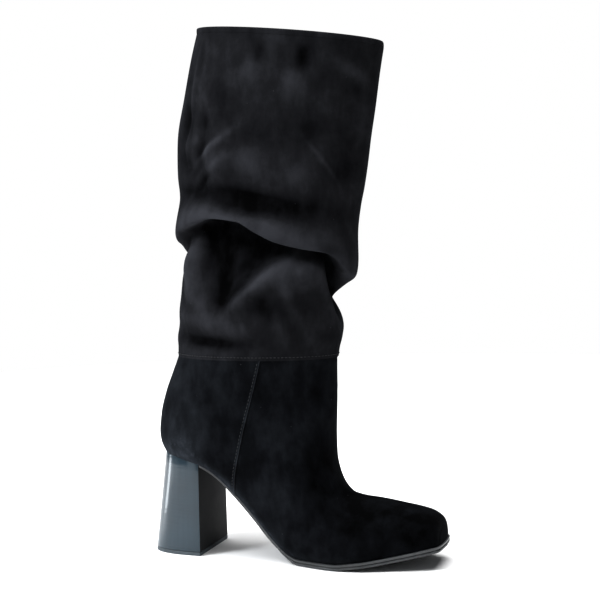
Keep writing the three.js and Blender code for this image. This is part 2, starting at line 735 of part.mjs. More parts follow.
addPiece("foot_upper", footUpper, 0x1d1d21, 0.95);
addPiece("slouch_shaft", slouchShaft, 0x1c1c20, 0.95);
addPiece("collar_binding", collarBinding, 0x121214, 0.8);
addPiece("insole", insole, 0x2a2724, 0.7);
addPiece("outsole", outsole, 0x303136, 0.5);
addPiece("block_heel", blockHeel, 0x4a525a, 0.2);
addPiece("heel_top_piece", heelTopPiece, 0x141416, 0.7);

export default boot;
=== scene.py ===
# %% [markdown]
# # A slouch boot in black suede
# The boot has a square toe, a slack shaft that falls in rolls above the ankle, and a tall block heel.
# The CAD model gives every piece its place. Here each piece gets its real surface: cloth that folds,
# a cut edge that catches the light, thread in the seams and lacquer on the heel.
# All lengths in the tables are millimetres, as in the CAD. Blender itself works in metres.

import math

import bmesh
import bpy
import numpy as np
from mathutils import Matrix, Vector


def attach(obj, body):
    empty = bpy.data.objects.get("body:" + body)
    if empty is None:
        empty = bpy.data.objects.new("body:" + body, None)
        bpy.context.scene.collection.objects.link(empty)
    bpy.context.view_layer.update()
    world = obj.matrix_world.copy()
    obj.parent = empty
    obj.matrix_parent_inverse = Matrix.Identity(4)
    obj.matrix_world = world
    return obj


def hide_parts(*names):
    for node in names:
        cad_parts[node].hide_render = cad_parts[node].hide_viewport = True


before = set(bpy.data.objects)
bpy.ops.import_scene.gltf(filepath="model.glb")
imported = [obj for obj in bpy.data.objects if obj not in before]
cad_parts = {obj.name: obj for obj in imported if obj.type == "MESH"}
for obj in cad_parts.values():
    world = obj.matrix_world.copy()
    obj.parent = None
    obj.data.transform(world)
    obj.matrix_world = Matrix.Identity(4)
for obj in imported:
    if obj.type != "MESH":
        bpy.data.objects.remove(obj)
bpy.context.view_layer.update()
MM = 0.001

# %% Sizes of the boot
FOOT_LENGTH = 246
BALL_WIDTH = 86
TOE_WIDTH = 44
VAMP_HEIGHT = 51
TOE_SPRING = 14
LASTING_MARGIN = 9
QUARTER_RISE = 80
ANKLE_WIDTH = 78
SHAFT_HEIGHT = 262
SHAFT_LENGTH = 153
SHAFT_WIDTH = 78
SHAFT_LEAN = 32
COLLAR_DROP = 20
HEEL_HEIGHT = 84
HEEL_LENGTH = 48
HEEL_WIDTH = 58
HEEL_CORNER = 3.2
TOP_PIECE = 3
SOLE_THICKNESS = 5
WAIST_THICKNESS = 2.4
SOLE_MARGIN = 1.4
FIT = 0.3
SEAM_HEIGHT = HEEL_HEIGHT + QUARTER_RISE
BREAST = HEEL_LENGTH / 2
print("ankle seam at", SEAM_HEIGHT, "mm, collar at", SEAM_HEIGHT + SHAFT_HEIGHT, "mm")

# %% [markdown]
# ## Curves through a few values
# A maker draws a last with a few sizes and lets the curve run between them. The helper runs smoothly
# through a row of values and never swings past them.

# %% A smooth curve
def through(places, values):
    places, values = np.asarray(places, float), np.asarray(values, float)
    steps = np.diff(places)
    rates = np.diff(values) / steps
    slopes = np.empty_like(values)
    slopes[0], slopes[-1] = rates[0], rates[-1]
    before, after = 2 * steps[1:] + steps[:-1], steps[1:] + 2 * steps[:-1]
    with np.errstate(divide="ignore", invalid="ignore"):
        mixed = (before + after) / (before / rates[:-1] + after / rates[1:])
    slopes[1:-1] = np.where(rates[:-1] * rates[1:] > 0, mixed, 0)

    def at(place):
        place = np.asarray(place, float)
        i = np.clip(np.searchsorted(places, place) - 1, 0, len(steps) - 1)
        t = (place - places[i]) / steps[i]
        held = np.clip(t, 0, 1)
        rise = values[i + 1] - values[i]
        bend = steps[i] * held * (1 - held) * (slopes[i] * (1 - held) - slopes[i + 1] * held)
        past = steps[i] * (np.minimum(t, 0) * slopes[i] + np.maximum(t - 1, 0) * slopes[i + 1])
        return values[i] + rise * (3 - 2 * held) * held**2 + bend + past

    return at


def smooth_step(value, low, high):
    t = np.clip((np.asarray(value, float) - low) / (high - low), 0, 1)
    return t * t * (3 - 2 * t)


print("halfway along a curve from 0 by 1 to 3:", float(through([0, 1, 2], [0, 1, 3])(1)))

# %% [markdown]
# ## The feather line
# The feather line is where the upper meets the sole. Seen from the side it runs level under the
# forefoot, lifts at the toe and climbs steeply to the heel seat.
# Each row: place along the foot, then shares of heel height, sole thickness and toe spring.

# %% Feather line
FEATHER = [
    (-0.14, 1.06, 0, 0), (-0.07, 1.022, 0, 0), (0.0, 0.978, 0, 0), (0.1, 0.905, 0, 0),
    (0.163, 0.785, 0, 0), (0.224, 0.615, 0, 0), (0.293, 0.392, 0, 0), (0.346, 0.2, 0.35, 0),
    (0.398, 0.055, 0.8, 0), (0.45, 0, 1, 0), (0.57, 0, 1, 0), (0.65, 0, 1, 0.16), (0.732, 0, 1, 0.4),
    (0.813, 0, 1, 0.68), (0.9, 0, 1, 1), (0.96, 0, 1, 1.2),
]
feather = through(
    [row[0] * FOOT_LENGTH for row in FEATHER],
    [row[1] * HEEL_HEIGHT + row[2] * SOLE_THICKNESS + row[3] * TOE_SPRING for row in FEATHER],
)
TOE_END = 0.9 * FOOT_LENGTH
print("feather line at toe and seat:", float(feather(TOE_END)), float(feather(0)))

# %% [markdown]
# ## The last
# Sections fan out from upright at the toe to level at the ankle seam. Each runs from a low point
# under the foot to a top point on the vamp or the shin, and is a rounded square in between.

# %% Sections of the foot
FOOT_COLUMNS = "low_x lap rise top_x vamp climb toe ball ankle skew wide crown keel".split()
FOOT = [
    (0.9, 0.35, 0, 0.898, 0.58, 0, 0.34, 0, 0, 0.006, 0.5, 2.4, 2.6),
    (0.897, 0.75, 0, 0.892, 0.69, 0, 0.43, 0, 0, 0.007, 0.5, 2.4, 2.6),
    (0.888, 1, 0, 0.878, 0.765, 0, 0.49, 0, 0, 0.008, 0.48, 2.4, 2.6),
    (0.865, 1.1, 0, 0.855, 0.825, 0, 0.4, 0.08, 0, 0.01, 0.46, 2.3, 2.6),
    (0.825, 1.1, 0, 0.815, 0.87, 0, 0.2, 0.235, 0, 0.014, 0.42, 2.2, 2.6),
    (0.77, 1.1, 0, 0.762, 0.91, 0, 0.06, 0.36, 0, 0.016, 0.39, 2.1, 2.6),
    (0.71, 1.1, 0, 0.706, 0.955, 0, 0, 0.448, 0, 0.01, 0.37, 2, 2.6),
    (0.65, 1.1, 0, 0.65, 0.985, 0, 0, 0.487, 0, 0, 0.36, 1.95, 2.6),
    (0.585, 1.1, 0, 0.596, 1, 0.018, 0, 0.495, 0, -0.012, 0.36, 1.9, 2.6),
    (0.51, 1, 0, 0.563, 1, 0.09, 0, 0.48, 0, -0.022, 0.38, 1.9, 2.7),
    (0.43, 0.9, 0, 0.546, 1, 0.2, 0, 0.3, 0.17, -0.024, 0.43, 1.9, 2.8),
    (0.35, 0.8, 0, 0.54, 1, 0.31, 0, 0.12, 0.34, -0.02, 0.48, 1.95, 2.9),
    (0.27, 0.8, 0, 0.541, 1, 0.43, 0, 0, 0.465, -0.014, 0.5, 2, 2.95),
    (0.185, 0.85, 0, 0.544, 1, 0.535, 0, 0, 0.465, -0.008, 0.5, 2, 3),
    (0.1, 0.9, 0, 0.547, 1, 0.63, 0, 0, 0.465, 0, 0.49, 2, 3),
    (0.02, 0.85, 0, 0.549, 1, 0.7, 0, 0, 0.465, 0, 0.47, 2, 2.9),
    (-0.04, 0.5, 0, 0.55, 1, 0.75, 0, 0, 0.467, 0, 0.46, 2, 2.6),
    (-0.066, 0, 0.035, 0.551, 1, 0.79, 0, 0, 0.47, 0, 0.45, 2, 2.4),
    (-0.076, 0, 0.17, 0.551, 1, 0.83, 0, 0, 0.473, 0, 0.45, 2, 2.25),
    (-0.07, 0, 0.36, 0.551, 1, 0.87, 0, 0, 0.48, 0, 0.45, 2, 2.15),
    (-0.05, 0, 0.6, 0.551, 1, 0.915, 0, 0, 0.488, 0, 0.46, 2, 2.1),
    (-0.024, 0, 0.82, 0.551, 1, 0.96, 0, 0, 0.495, 0, 0.48, 2, 2.05),
    (-0.001, 0, 1.015, 0.551, 1, 1, 0, 0, 0.5, 0, 0.5, 2, 2),
    (0.005, 0, 1.1, 0.551, 1, 1.06, 0, 0, 0.5, 0, 0.5, 2, 2),
]
BALL_ROW, HEEL_ROW, SEAM_ROW = 8, 18, 22
TOE_SKEW = FOOT[0][FOOT_COLUMNS.index("skew")]
foot_curve = {
    name: through(range(len(FOOT)), [row[i] for row in FOOT]) for i, name in enumerate(FOOT_COLUMNS)
}


def foot_point(place, turn):
    """Points of the foot at places in the table and turns in radians, 0 being the top or front."""
    share = {name: foot_curve[name](place) for name in FOOT_COLUMNS}
    low_x = share["low_x"] * FOOT_LENGTH
    low_z = feather(low_x) - share["lap"] * LASTING_MARGIN + share["rise"] * QUARTER_RISE
    top_x = share["top_x"] * FOOT_LENGTH
    top_z = share["vamp"] * VAMP_HEIGHT + share["climb"] * (SEAM_HEIGHT - VAMP_HEIGHT)
    half = share["toe"] * TOE_WIDTH + share["ball"] * BALL_WIDTH + share["ankle"] * ANKLE_WIDTH
    ahead, aside = np.cos(turn), np.sin(turn)
    power = 2 / np.where(ahead > 0, share["crown"], share["keel"])
    reach = np.abs(ahead) ** power
    along = np.where(ahead > 0, share["wide"] + (1 - share["wide"]) * reach, share["wide"] * (1 - reach))
    half = half - np.sign(aside) * share["skew"] * BALL_WIDTH
    width = -np.sign(aside) * half * np.abs(aside) ** power
    return np.stack([low_x + (top_x - low_x) * along, width, low_z + (top_z - low_z) * along], -1)


def halved(low, high, is_low):
    """Searches between two arrays of values for the point where is_low stops being true."""
    for _ in range(40):
        middle = (low + high) / 2
        good = is_low(middle)
        low, high = np.where(good, middle, low), np.where(good, high, middle)
    return low


def feather_turn(place, side):
    """The turn at which a section crosses the feather line, or half a turn behind the seat."""
    def above(turn):
        p = foot_point(place, side * turn)
        return p[..., 2] > feather(p[..., 0])

    place = np.asarray(place, float)
    return halved(np.full_like(place, np.pi / 2), np.full_like(place, np.pi), above)


def feather_point(place, side):
    """Points of the foot on the feather line, on one side."""
    return foot_point(place, side * feather_turn(place, side))


def foot_normal(place, turn):
    """Unit vectors straight out of the foot."""
    step = 1e-3
    along = foot_point(place + step, turn) - foot_point(place - step, turn)
    around = foot_point(place, turn + step) - foot_point(place, turn - step)
    normal = np.cross(along, around)
    return normal / np.maximum(np.linalg.norm(normal, axis=-1, keepdims=True), 1e-9)


print("sections of the foot:", len(FOOT))

# %% [markdown]
# ## A cut piece laid over a form
# A shoemaker cuts a flat piece and lays it over the last. The helper does the same: it adds Blender's
# grid, lays every point of it on a form, closes the meeting edges and gives the sheet its thickness.

# %% Laying a grid on a form
SHARP = math.radians(40)


def select_none():
    if bpy.context.object and bpy.context.object.mode != "OBJECT":
        bpy.ops.object.mode_set(mode="OBJECT")
    bpy.ops.object.select_all(action="DESELECT")


def choose(obj, mode="OBJECT"):
    select_none()
    obj.select_set(True)
    bpy.context.view_layer.objects.active = obj
    bpy.ops.object.mode_set(mode=mode)


def points_of(obj):
    flat = np.empty(len(obj.data.vertices) * 3)
    obj.data.vertices.foreach_get("co", flat)
    return flat.reshape(-1, 3)


def dressed(name, materials):
    """Names the object that was just added and gives it its materials."""
    obj = bpy.context.object
    obj.name = obj.data.name = name
    for material in materials:
        obj.data.materials.append(material)
    return obj


def laid_grid(name, across, along, lay, materials):
    """Grid of across by along squares whose points lay(u, v) places, in millimetres."""
    select_none()
    bpy.ops.mesh.primitive_grid_add(x_subdivisions=across, y_subdivisions=along, size=1)
    obj = dressed(name, materials)
    across, along, _ = np.clip(points_of(obj) + 0.5, 0, 1).T
    placed = lay(across, along) * MM
    obj.data.vertices.foreach_set("co", placed.ravel())
    obj.data.update()
    return obj


def face_outwards():
    """Turns the faces of the edited object outwards and leaves edit mode."""
    bpy.ops.mesh.select_all(action="SELECT")
    bpy.ops.mesh.normals_make_consistent(inside=False)
    bpy.ops.object.mode_set(mode="OBJECT")


def close_edges(obj, gap=0.02):
    """Merges points that meet, and turns the faces outwards."""
    choose(obj, "EDIT")
    bpy.ops.mesh.select_all(action="SELECT")
    bpy.ops.mesh.remove_doubles(threshold=gap * MM)
    face_outwards()


def give_wall(obj, thickness):
    """Thickness inwards; the inside takes the second material and the cut edge the third."""
    choose(obj)
    wall = obj.modifiers.new("wall", "SOLIDIFY")
    wall.thickness = thickness * MM
    wall.offset = -1
    wall.material_offset = 1
    wall.material_offset_rim = 2
    bpy.ops.object.modifier_apply(modifier=wall.name)


def finished(obj, node=None):
    """Smooth shading, the body that carries the piece and what it stands for."""
    choose(obj)
    bpy.ops.object.shade_smooth_by_angle(angle=SHARP)
    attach(obj, "root")
    if node:
        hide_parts(node)
    triangles = sum(len(p.vertices) - 2 for p in obj.data.polygons)
    print(obj.name, "has", triangles, "triangles")


print("ready to lay sheets over the last")

# %% [markdown]
# ## Suede
# Suede is leather with its flesh side out, brushed to a nap. It has almost no gloss. Its colour carries
# painted light: pale on the ridges, as painted highlight and rubbed nap, and nearly black in the tucks,
# as painted shade, with faint patches and specks of lint between. Patches and specks are noise on the
# object's own coordinates, so that they keep one size on every piece.

# %% Small helpers for materials
def new_material(name):
    material = bpy.data.materials.new(name)
    material.use_nodes = True
    return material, material.node_tree, material.node_tree.nodes["Principled BSDF"]


def add(tree, kind, **settings):
    node = tree.nodes.new("ShaderNode" + kind)
    for name, value in settings.items():
        setattr(node, name, value)
    return node


def settle(node, values):
    """Sets a node's own sockets to constant values."""
    for name, value in values.items():
        node.inputs[name].default_value = value


def noise(tree, place, scale, detail=2.0, rough=0.5, stretch=(1, 1, 1), turn=(0, 0, 0)):
    """Noise on a stretched copy of the object's own coordinates."""
    mapping = add(tree, "Mapping")
    settle(mapping, {"Scale": stretch, "Rotation": turn})
    tree.links.new(place, mapping.inputs["Vector"])
    node = add(tree, "TexNoise")
    settle(node, {"Scale": scale, "Detail": detail, "Roughness": rough})
    tree.links.new(mapping.outputs["Vector"], node.inputs["Vector"])
    return node.outputs["Fac"]


def ramp(tree, value, stops):
    """Colour or grey ramp through (position, colour) stops."""
    node = add(tree, "ValToRGB")
    node.color_ramp.elements[0].position = stops[0][0]
    node.color_ramp.elements[1].position = stops[-1][0]
    for position, _ in stops[1:-1]:
        node.color_ramp.elements.new(position)
    for element, (_, colour) in zip(node.color_ramp.elements, stops):
        element.color = (*colour, 1) if isinstance(colour, tuple) else (colour, colour, colour, 1)
    tree.links.new(value, node.inputs["Fac"])
    return node.outputs["Color"]


def blend(tree, amount, first, second, kind="MIX"):
    """Mix of two colours by an amount; a colour is a socket or three numbers."""
    node = add(tree, "Mix", data_type="RGBA", blend_type=kind)
    for socket, value in ((node.inputs[0], amount), (node.inputs[6], first), (node.inputs[7], second)):
        if isinstance(value, (int, float)):
            socket.default_value = value
        elif isinstance(value, tuple):
            socket.default_value = (*value, 1)
        else:
            tree.links.new(value, socket)
    return node.outputs[2]


def bump(tree, shader, height, strength, distance, before=None):
    """Bump of a height in millimetres, added to the one before it."""
    node = add(tree, "Bump")
    settle(node, {"Strength": strength, "Distance": distance * MM})
    tree.links.new(height, node.inputs["Height"])
    if before:
        tree.links.new(before, node.inputs["Normal"])
    tree.links.new(node.outputs["Normal"], shader.inputs["Normal"])
    return node.outputs["Normal"]


def object_place(tree):
    return add(tree, "TexCoord").outputs["Object"]


print("ready to build materials of nodes")

# %% [markdown]
# Each point of the suede carries one value of painted light and wear, from 0, near black as painted shade in
# tucks and hollows, to 1, pale as painted highlight and rubbed nap. The value follows the shape, and tables
# of soft spots, placed like the dents, fill it in.

# %% How much painted light and wear each point carries
def keep_light_and_wear(obj, values):
    """Stores one value a point of painted light and wear, in the grid's own order, as an attribute that the
    suede reads.
    """
    painted_light_and_wear = obj.data.attributes.new("painted_light_and_wear", "FLOAT", "POINT")
    painted_light_and_wear.data.foreach_set("value", np.clip(values, 0, 1).astype(np.float32))


# 0 is near black, painted shade in tucks and hollows; 1 is pale, painted highlight and rubbed nap.
print("wear runs from 0, pressed, to 1, rubbed")

# %% Suede material
STROKE_SHARE, MOTTLE_SHARE = 0.4, 0.34
# Tones of the painted shade at the dark end, of the painted highlight and rubbed nap at the pale end, and of
# worn spots.
PAINTED_SHADE_TONE, HIGHLIGHT_AND_RUB_TONE, WORN_TONE = 0.12, 2.6, 4.0


def toned(colour, share):
    return tuple(share * c for c in colour)


def suede_material(name, dark, light, rub=0.0):
    """Suede between two tones; rub is how far its palest places break up into worn spots."""
    material, tree, shader = new_material(name)
    place = object_place(tree)
    patches = ramp(tree, noise(tree, place, 34, 4, 0.6), [(0.36, 0.0), (0.66, 1.0)])
    lines = noise(tree, place, 110, 3, 0.55, (1, 1, 0.4), (0.2, 0.5, 0))
    strokes = ramp(tree, lines, [(0.35, 0.0), (0.7, 1.0)])
    mottle = blend(tree, STROKE_SHARE, patches, strokes)
    painted_light_and_wear = add(tree, "Attribute", attribute_name="painted_light_and_wear")
    shade_wear_and_mottle = blend(tree, MOTTLE_SHARE, painted_light_and_wear.outputs["Fac"], mottle)
    # The ramp runs from near black, painted shade, to pale, painted highlight and rubbed nap.
    tones = [(0.08, toned(dark, PAINTED_SHADE_TONE)), (0.28, dark), (0.48, light), (0.85, toned(light, HIGHLIGHT_AND_RUB_TONE))]
    colour = ramp(tree, shade_wear_and_mottle, tones)
    if rub:
        near = ramp(tree, painted_light_and_wear.outputs["Fac"], [(0.42, 0.0), (0.58, 1.0)])
        worn = ramp(tree, noise(tree, place, 140, 5, 0.7), [(0.46, 0.0), (0.64, 1.0)])
        both = blend(tree, 1.0, near, worn, "MULTIPLY")
        worn_mix = add(tree, "Math", operation="MULTIPLY")
        worn_mix.inputs[1].default_value = rub
        tree.links.new(both, worn_mix.inputs[0])
        colour = blend(tree, worn_mix.outputs[0], colour, toned(light, WORN_TONE))
    lint = add(tree, "TexVoronoi")
    settle(lint, {"Scale": 75})
    tree.links.new(place, lint.inputs["Vector"])
    specks = ramp(tree, lint.outputs["Distance"], [(0.02, 1.0), (0.034, 0.0)])
    colour = blend(tree, specks, colour, (0.05, 0.05, 0.055))
    tree.links.new(colour, shader.inputs["Base Color"])
    settle(shader, {"Roughness": 0.95, "Specular IOR Level": 0.04})
    settle(shader, {"Sheen Weight": 0.02, "Sheen Roughness": 0.42, "Sheen Tint": (0.62, 0.68, 0.8, 1)})
    nap = noise(tree, place, 1500, 3, 0.65)
    soft = bump(tree, shader, nap, 0.6, 0.35)
    bump(tree, shader, noise(tree, place, 240, 3, 0.6), 0.16, 0.5, soft)
    return material


SUEDE_DARK = (0.0085, 0.0088, 0.0105)
SUEDE_LIGHT = (0.0165, 0.017, 0.0195)
# The foot's tones are darker than the shaft's: painted shade, for the foot lies lower and farther from the
# light.
FOOT_DARK = (0.0056, 0.0064, 0.0082)
FOOT_LIGHT = (0.0142, 0.0162, 0.0195)
suede = suede_material("suede of the shaft", SUEDE_DARK, SUEDE_LIGHT)
shaded_foot_suede = suede_material("suede of the foot", FOOT_DARK, FOOT_LIGHT, rub=0.42)
print("suede tones:", SUEDE_DARK, SUEDE_LIGHT)

# %% Cut edge, lining and thread
TONE_SPREAD = 0.5


def plain_material(name, colour, roughness, grain=0.2, scale=900, coat=0.0):
    """Fine-grained finish with a little variation in tone and roughness."""
    material, tree, shader = new_material(name)
    place = object_place(tree)
    tone = noise(tree, place, scale / 12, 3, 0.6)
    deep, high = toned(colour, 1 - TONE_SPREAD / 2), toned(colour, 1 + TONE_SPREAD)
    tree.links.new(ramp(tree, tone, [(0.3, deep), (0.72, high)]), shader.inputs["Base Color"])
    matt = ramp(tree, tone, [(0.3, max(roughness - 0.06, 0.02)), (0.7, min(roughness + 0.08, 1.0))])
    tree.links.new(matt, shader.inputs["Roughness"])
    settle(shader, {"Coat Weight": coat, "Coat Roughness": 0.08})
    bump(tree, shader, noise(tree, place, scale, 3, 0.6), grain, 0.15)
    return material


cut_edge = plain_material("cut suede edge", (0.03, 0.031, 0.034), 0.85)
lining = plain_material("smooth lining", (0.012, 0.0115, 0.011), 0.55, 0.15)
thread = plain_material("seam thread", (0.021, 0.022, 0.025), 0.6, 0.3, 2500)
print("plain finishes:", cut_edge.name, lining.name, thread.name)

# %% [markdown]
# ## The vamp
# The vamp is pulled over the last from the toe to the ankle seam. A last has no flat places, so the
# sheet is laid on the sections, row by row. Its edge ends on the feather line. At the toe the rows
# close in a shallow dome.

# %% Vamp
TOE_DOME = 1.0
TOE_SHARE = 0.07
VAMP_WALL = 1.8


def lay_foot(across, along):
    """Points of the foot: across runs from the inner to the outer feather edge, along to the ankle."""
    place = np.maximum(along - TOE_SHARE, 0) / (1 - TOE_SHARE) * SEAM_ROW
    side = np.where(across < 0.5, -1, 1)
    turn = side * np.abs(2 * across - 1) * np.where(side < 0, feather_turn(place, -1), feather_turn(place, 1))
    points = foot_point(place, turn)
    dome = np.clip(along / TOE_SHARE, 0, 1) * np.pi / 2
    toe = foot_point(np.zeros_like(place), turn)
    centre = np.array([TOE_END, -TOE_SKEW * BALL_WIDTH, float(feather(TOE_END))])
    closed = centre + (toe - centre) * np.sin(dome)[:, None]
    closed[:, 0] += TOE_DOME * np.cos(dome)
    return np.where((along < TOE_SHARE)[:, None], closed, points)


# Painted light on the back of the quarter and painted shade over the toe and instep, seen from the side:
# place along and up in millimetres, reaches, amount.
FOOT_PAINTED_LIGHT = [
    (8, 112, 26, 26, 0.2), (30, 148, 30, 16, 0.1), (78, 52, 20, 24, 0.14), (14, 90, 22, 8, 0.22),
    (190, 40, 50, 26, -0.3), (140, 66, 26, 34, -0.22), (214, 30, 14, 16, -0.2), (128, 92, 14, 50, -0.1),
    (92, 118, 20, 34, -0.06), (60, 84, 20, 16, -0.06), (100, 40, 16, 12, 0.12),
]
FOOT_LEVEL = 0.26
EDGE_RUB, EDGE_REACH, EDGE_END = 0.5, 7, 150
# A pale line along the side seam is painted highlight on its raised edge.
SEAM_HIGHLIGHT, SEAM_REACH = 0.4, 1.6


def foot_light_and_wear(obj, seam=None):
    """Painted light and wear of a piece of the foot: its painted light and shade, the rubbed waist's edge
    and, where given, a painted highlight along the side seam.
    """
    x, _, z = points_of(obj).T / MM
    level = FOOT_LEVEL
    for at_x, at_z, reach_x, reach_z, amount in FOOT_PAINTED_LIGHT:
        level = level + amount * np.exp(-(((x - at_x) / reach_x) ** 2) - ((z - at_z) / reach_z) ** 2)
    near_edge = np.exp(-(((z - feather(x)) / EDGE_REACH) ** 2)) * (1 - smooth_step(x, EDGE_END / 2, EDGE_END))
    level = level + EDGE_RUB * near_edge
    if seam:
        level = level + SEAM_HIGHLIGHT * np.exp(-(((x - seam(z)) / SEAM_REACH) ** 2))
    keep_light_and_wear(obj, level)


vamp = laid_grid("vamp", 168, 190, lay_foot, [shaded_foot_suede, lining, cut_edge])
foot_light_and_wear(vamp)
close_edges(vamp)
give_wall(vamp, VAMP_WALL)
finished(vamp, "foot_upper")

# %% [markdown]
# ## The quarters
# The quarters wrap round the heel and lap over the vamp at the side seams. Their cut edge runs
# slanting down from the ankle seam. They are a second sheet that stands a little proud of the first,
# laid so that one edge of the grid is the seam itself.

# %% Quarters
SEAM_LAP = 0.8
QUARTER_WALL = 1.0
SIDE_SEAM = [(0, 0.225), (0.256, 0.225), (0.6, 0.269), (1, 0.345), (1.1, 0.364)]
seam_x = through([row[0] * SEAM_HEIGHT for row in SIDE_SEAM], [row[1] * FOOT_LENGTH for row in SIDE_SEAM])


def seam_turn(place, side, behind=0.0):
    """The turn at which a section crosses the side seam, or a line some millimetres behind it."""
    def in_front(turn):
        p = foot_point(place, side * turn)
        return p[..., 0] > seam_x(p[..., 2]) - behind

    place = np.asarray(place, float)
    return halved(np.zeros_like(place), feather_turn(place, side), in_front)


def seam_start(side, behind=0.0):
    """The first section that reaches the seam's foot."""
    def short(place):
        p = feather_point(place, side)
        return p[..., 0] > seam_x(p[..., 2]) - behind

    return float(halved(np.array([BALL_ROW], float), np.array([HEEL_ROW], float), short)[0])


def quarter(side):
    start = seam_start(side)

    def lay(across, along):
        place = start + (SEAM_ROW - start) * along
        front, back = seam_turn(place, side), feather_turn(place, side)
        turn = side * (front + (back - front) * across)
        return foot_point(place, turn) + SEAM_LAP * foot_normal(place, turn)

    return laid_grid("quarter", 84, 100, lay, [shaded_foot_suede, lining, cut_edge])


halves = [quarter(1), quarter(-1)]
choose(halves[0])
halves[1].select_set(True)
bpy.ops.object.join()
quarters = halves[0]
quarters.name = quarters.data.name = "quarters"
foot_light_and_wear(quarters, seam_x)
close_edges(quarters)
give_wall(quarters, QUARTER_WALL)
finished(quarters, "foot_upper")

# %% [markdown]
# ## The slack shaft
# The shaft is a long tube of soft suede that has slid down the leg. It falls over itself in one big
# roll, tucks in sharply beneath it, and swells again above the ankle seam.
# A cloth simulation would fold it somewhere, but not where it should be. So the folds are placed one by one.
# Each row of a fold: turn from the front in degrees, height, push, droop, reach above and below.

# %% The shaft before it slouches
SHAFT_COLUMNS = "height ankle length width lean".split()
SHAFT = [
    (0, 1, 0, 0, 0), (0.06, 0.7, 0.3, 0.32, 0.05), (0.12, 0.4, 0.535, 0.62, 0.115),
    (0.2, 0.15, 0.775, 0.88, 0.17), (0.3, 0, 0.935, 1, 0.24), (0.38, 0, 0.965, 1.03, 0.31),
    (0.47, 0, 0.998, 1.04, 0.37), (0.56, 0, 1.04, 1.03, 0.45), (0.69, 0, 1.065, 1.02, 0.55),
    (0.81, 0, 1.052, 1.01, 0.735), (0.93, 0, 1.034, 1, 0.92), (1, 0, 1.02, 1, 1.05),
]
shaft_curve = {
    name: through([row[0] for row in SHAFT], [row[i] for row in SHAFT])
    for i, name in enumerate(SHAFT_COLUMNS)
}
print("rows of the shaft's profile:", len(SHAFT))

# %% Rolls and tucks that run round the shaft
MAIN_ROLL = [
    (0, 0.303, 0.075, 0.11, 0.1, 0.05), (16, 0.33, 0.07, 0.125, 0.09, 0.04),
    (36, 0.385, 0.07, 0.14, 0.075, 0.027), (56, 0.4, 0.08, 0.15, 0.055, 0.021),
    (72, 0.42, 0.09, 0.16, 0.045, 0.02), (86, 0.455, 0.095, 0.17, 0.034, 0.021),
    (97, 0.482, 0.095, 0.165, 0.028, 0.022), (112, 0.487, 0.095, 0.16, 0.026, 0.024),
    (130, 0.468, 0.09, 0.15, 0.032, 0.033), (158, 0.425, 0.06, 0.12, 0.045, 0.045),
    (180, 0.395, 0.04, 0.11, 0.05, 0.035), (225, 0.38, 0.08, 0.11, 0.07, 0.032),
    (270, 0.41, 0.09, 0.11, 0.07, 0.032), (315, 0.345, 0.09, 0.1, 0.08, 0.045),
    (345, 0.308, 0.08, 0.105, 0.1, 0.053),
]
MAIN_TUCK = [
    (0, 0.185, -0.125, 0, 0.042, 0.05), (20, 0.24, -0.1, 0, 0.05, 0.04),
    (36, 0.33, -0.09, 0, 0.035, 0.035), (50, 0.352, -0.1, 0, 0.03, 0.04),
    (70, 0.365, -0.16, 0, 0.03, 0.06), (90, 0.4, -0.21, 0, 0.035, 0.11), (112, 0.42, -0.2, 0, 0.04, 0.12),
    (140, 0.4, -0.1, 0, 0.04, 0.08), (165, 0.33, -0.08, 0, 0.04, 0.06),
    (180, 0.295, -0.1, 0, 0.035, 0.05), (230, 0.27, -0.12, 0, 0.045, 0.06),
    (275, 0.295, -0.14, 0, 0.045, 0.07), (325, 0.22, -0.12, 0, 0.04, 0.045),
]
UPPER_TROUGH = [
    (0, 0.47, 0.01, 0, 0.04, 0.05), (40, 0.472, -0.055, 0, 0.034, 0.035),
    (80, 0.49, -0.09, 0, 0.034, 0.026), (100, 0.512, -0.09, 0, 0.026, 0.022),
    (130, 0.518, -0.06, 0, 0.024, 0.022), (155, 0.51, -0.03, 0, 0.035, 0.03),
    (180, 0.5, -0.01, 0, 0.05, 0.04), (240, 0.47, -0.05, 0, 0.06, 0.05),
    (300, 0.47, -0.02, 0, 0.06, 0.05),
]
LOW_PILLOW = [
    (0, 0.11, 0.03, 0.02, 0.04, 0.035), (60, 0.13, 0.02, 0.02, 0.06, 0.05),
    (105, 0.11, 0.03, 0.01, 0.04, 0.03), (150, 0.13, 0.03, 0.02, 0.05, 0.04),
    (210, 0.14, 0.04, 0.03, 0.06, 0.05), (290, 0.15, 0.05, 0.03, 0.07, 0.06),
]


def round_curve(rows, column):
    """Closed curve round the shaft through one column of a fold's table."""
    turns = [row[0] for row in rows]
    values = [row[column] for row in rows]
    places = [turns[-1] - 360, *turns, turns[0] + 360, turns[1] + 360]
    return through(places, [values[-1], *values, values[0], values[1]])


FOLDS = (MAIN_ROLL, MAIN_TUCK, UPPER_TROUGH, LOW_PILLOW)
folds = [[round_curve(rows, i) for i in range(1, 6)] for rows in FOLDS]
print("folds round the shaft:", len(folds))

# %% [markdown]
# ## Dents and creases
# A dent is a soft hollow, or a swell where the push is positive. The first table
# holds the large ones of the CAD, the second the finer creases that only show from close by.
# Each row: turn, height, reach round in degrees, reach up, slant, push as a share of the width.

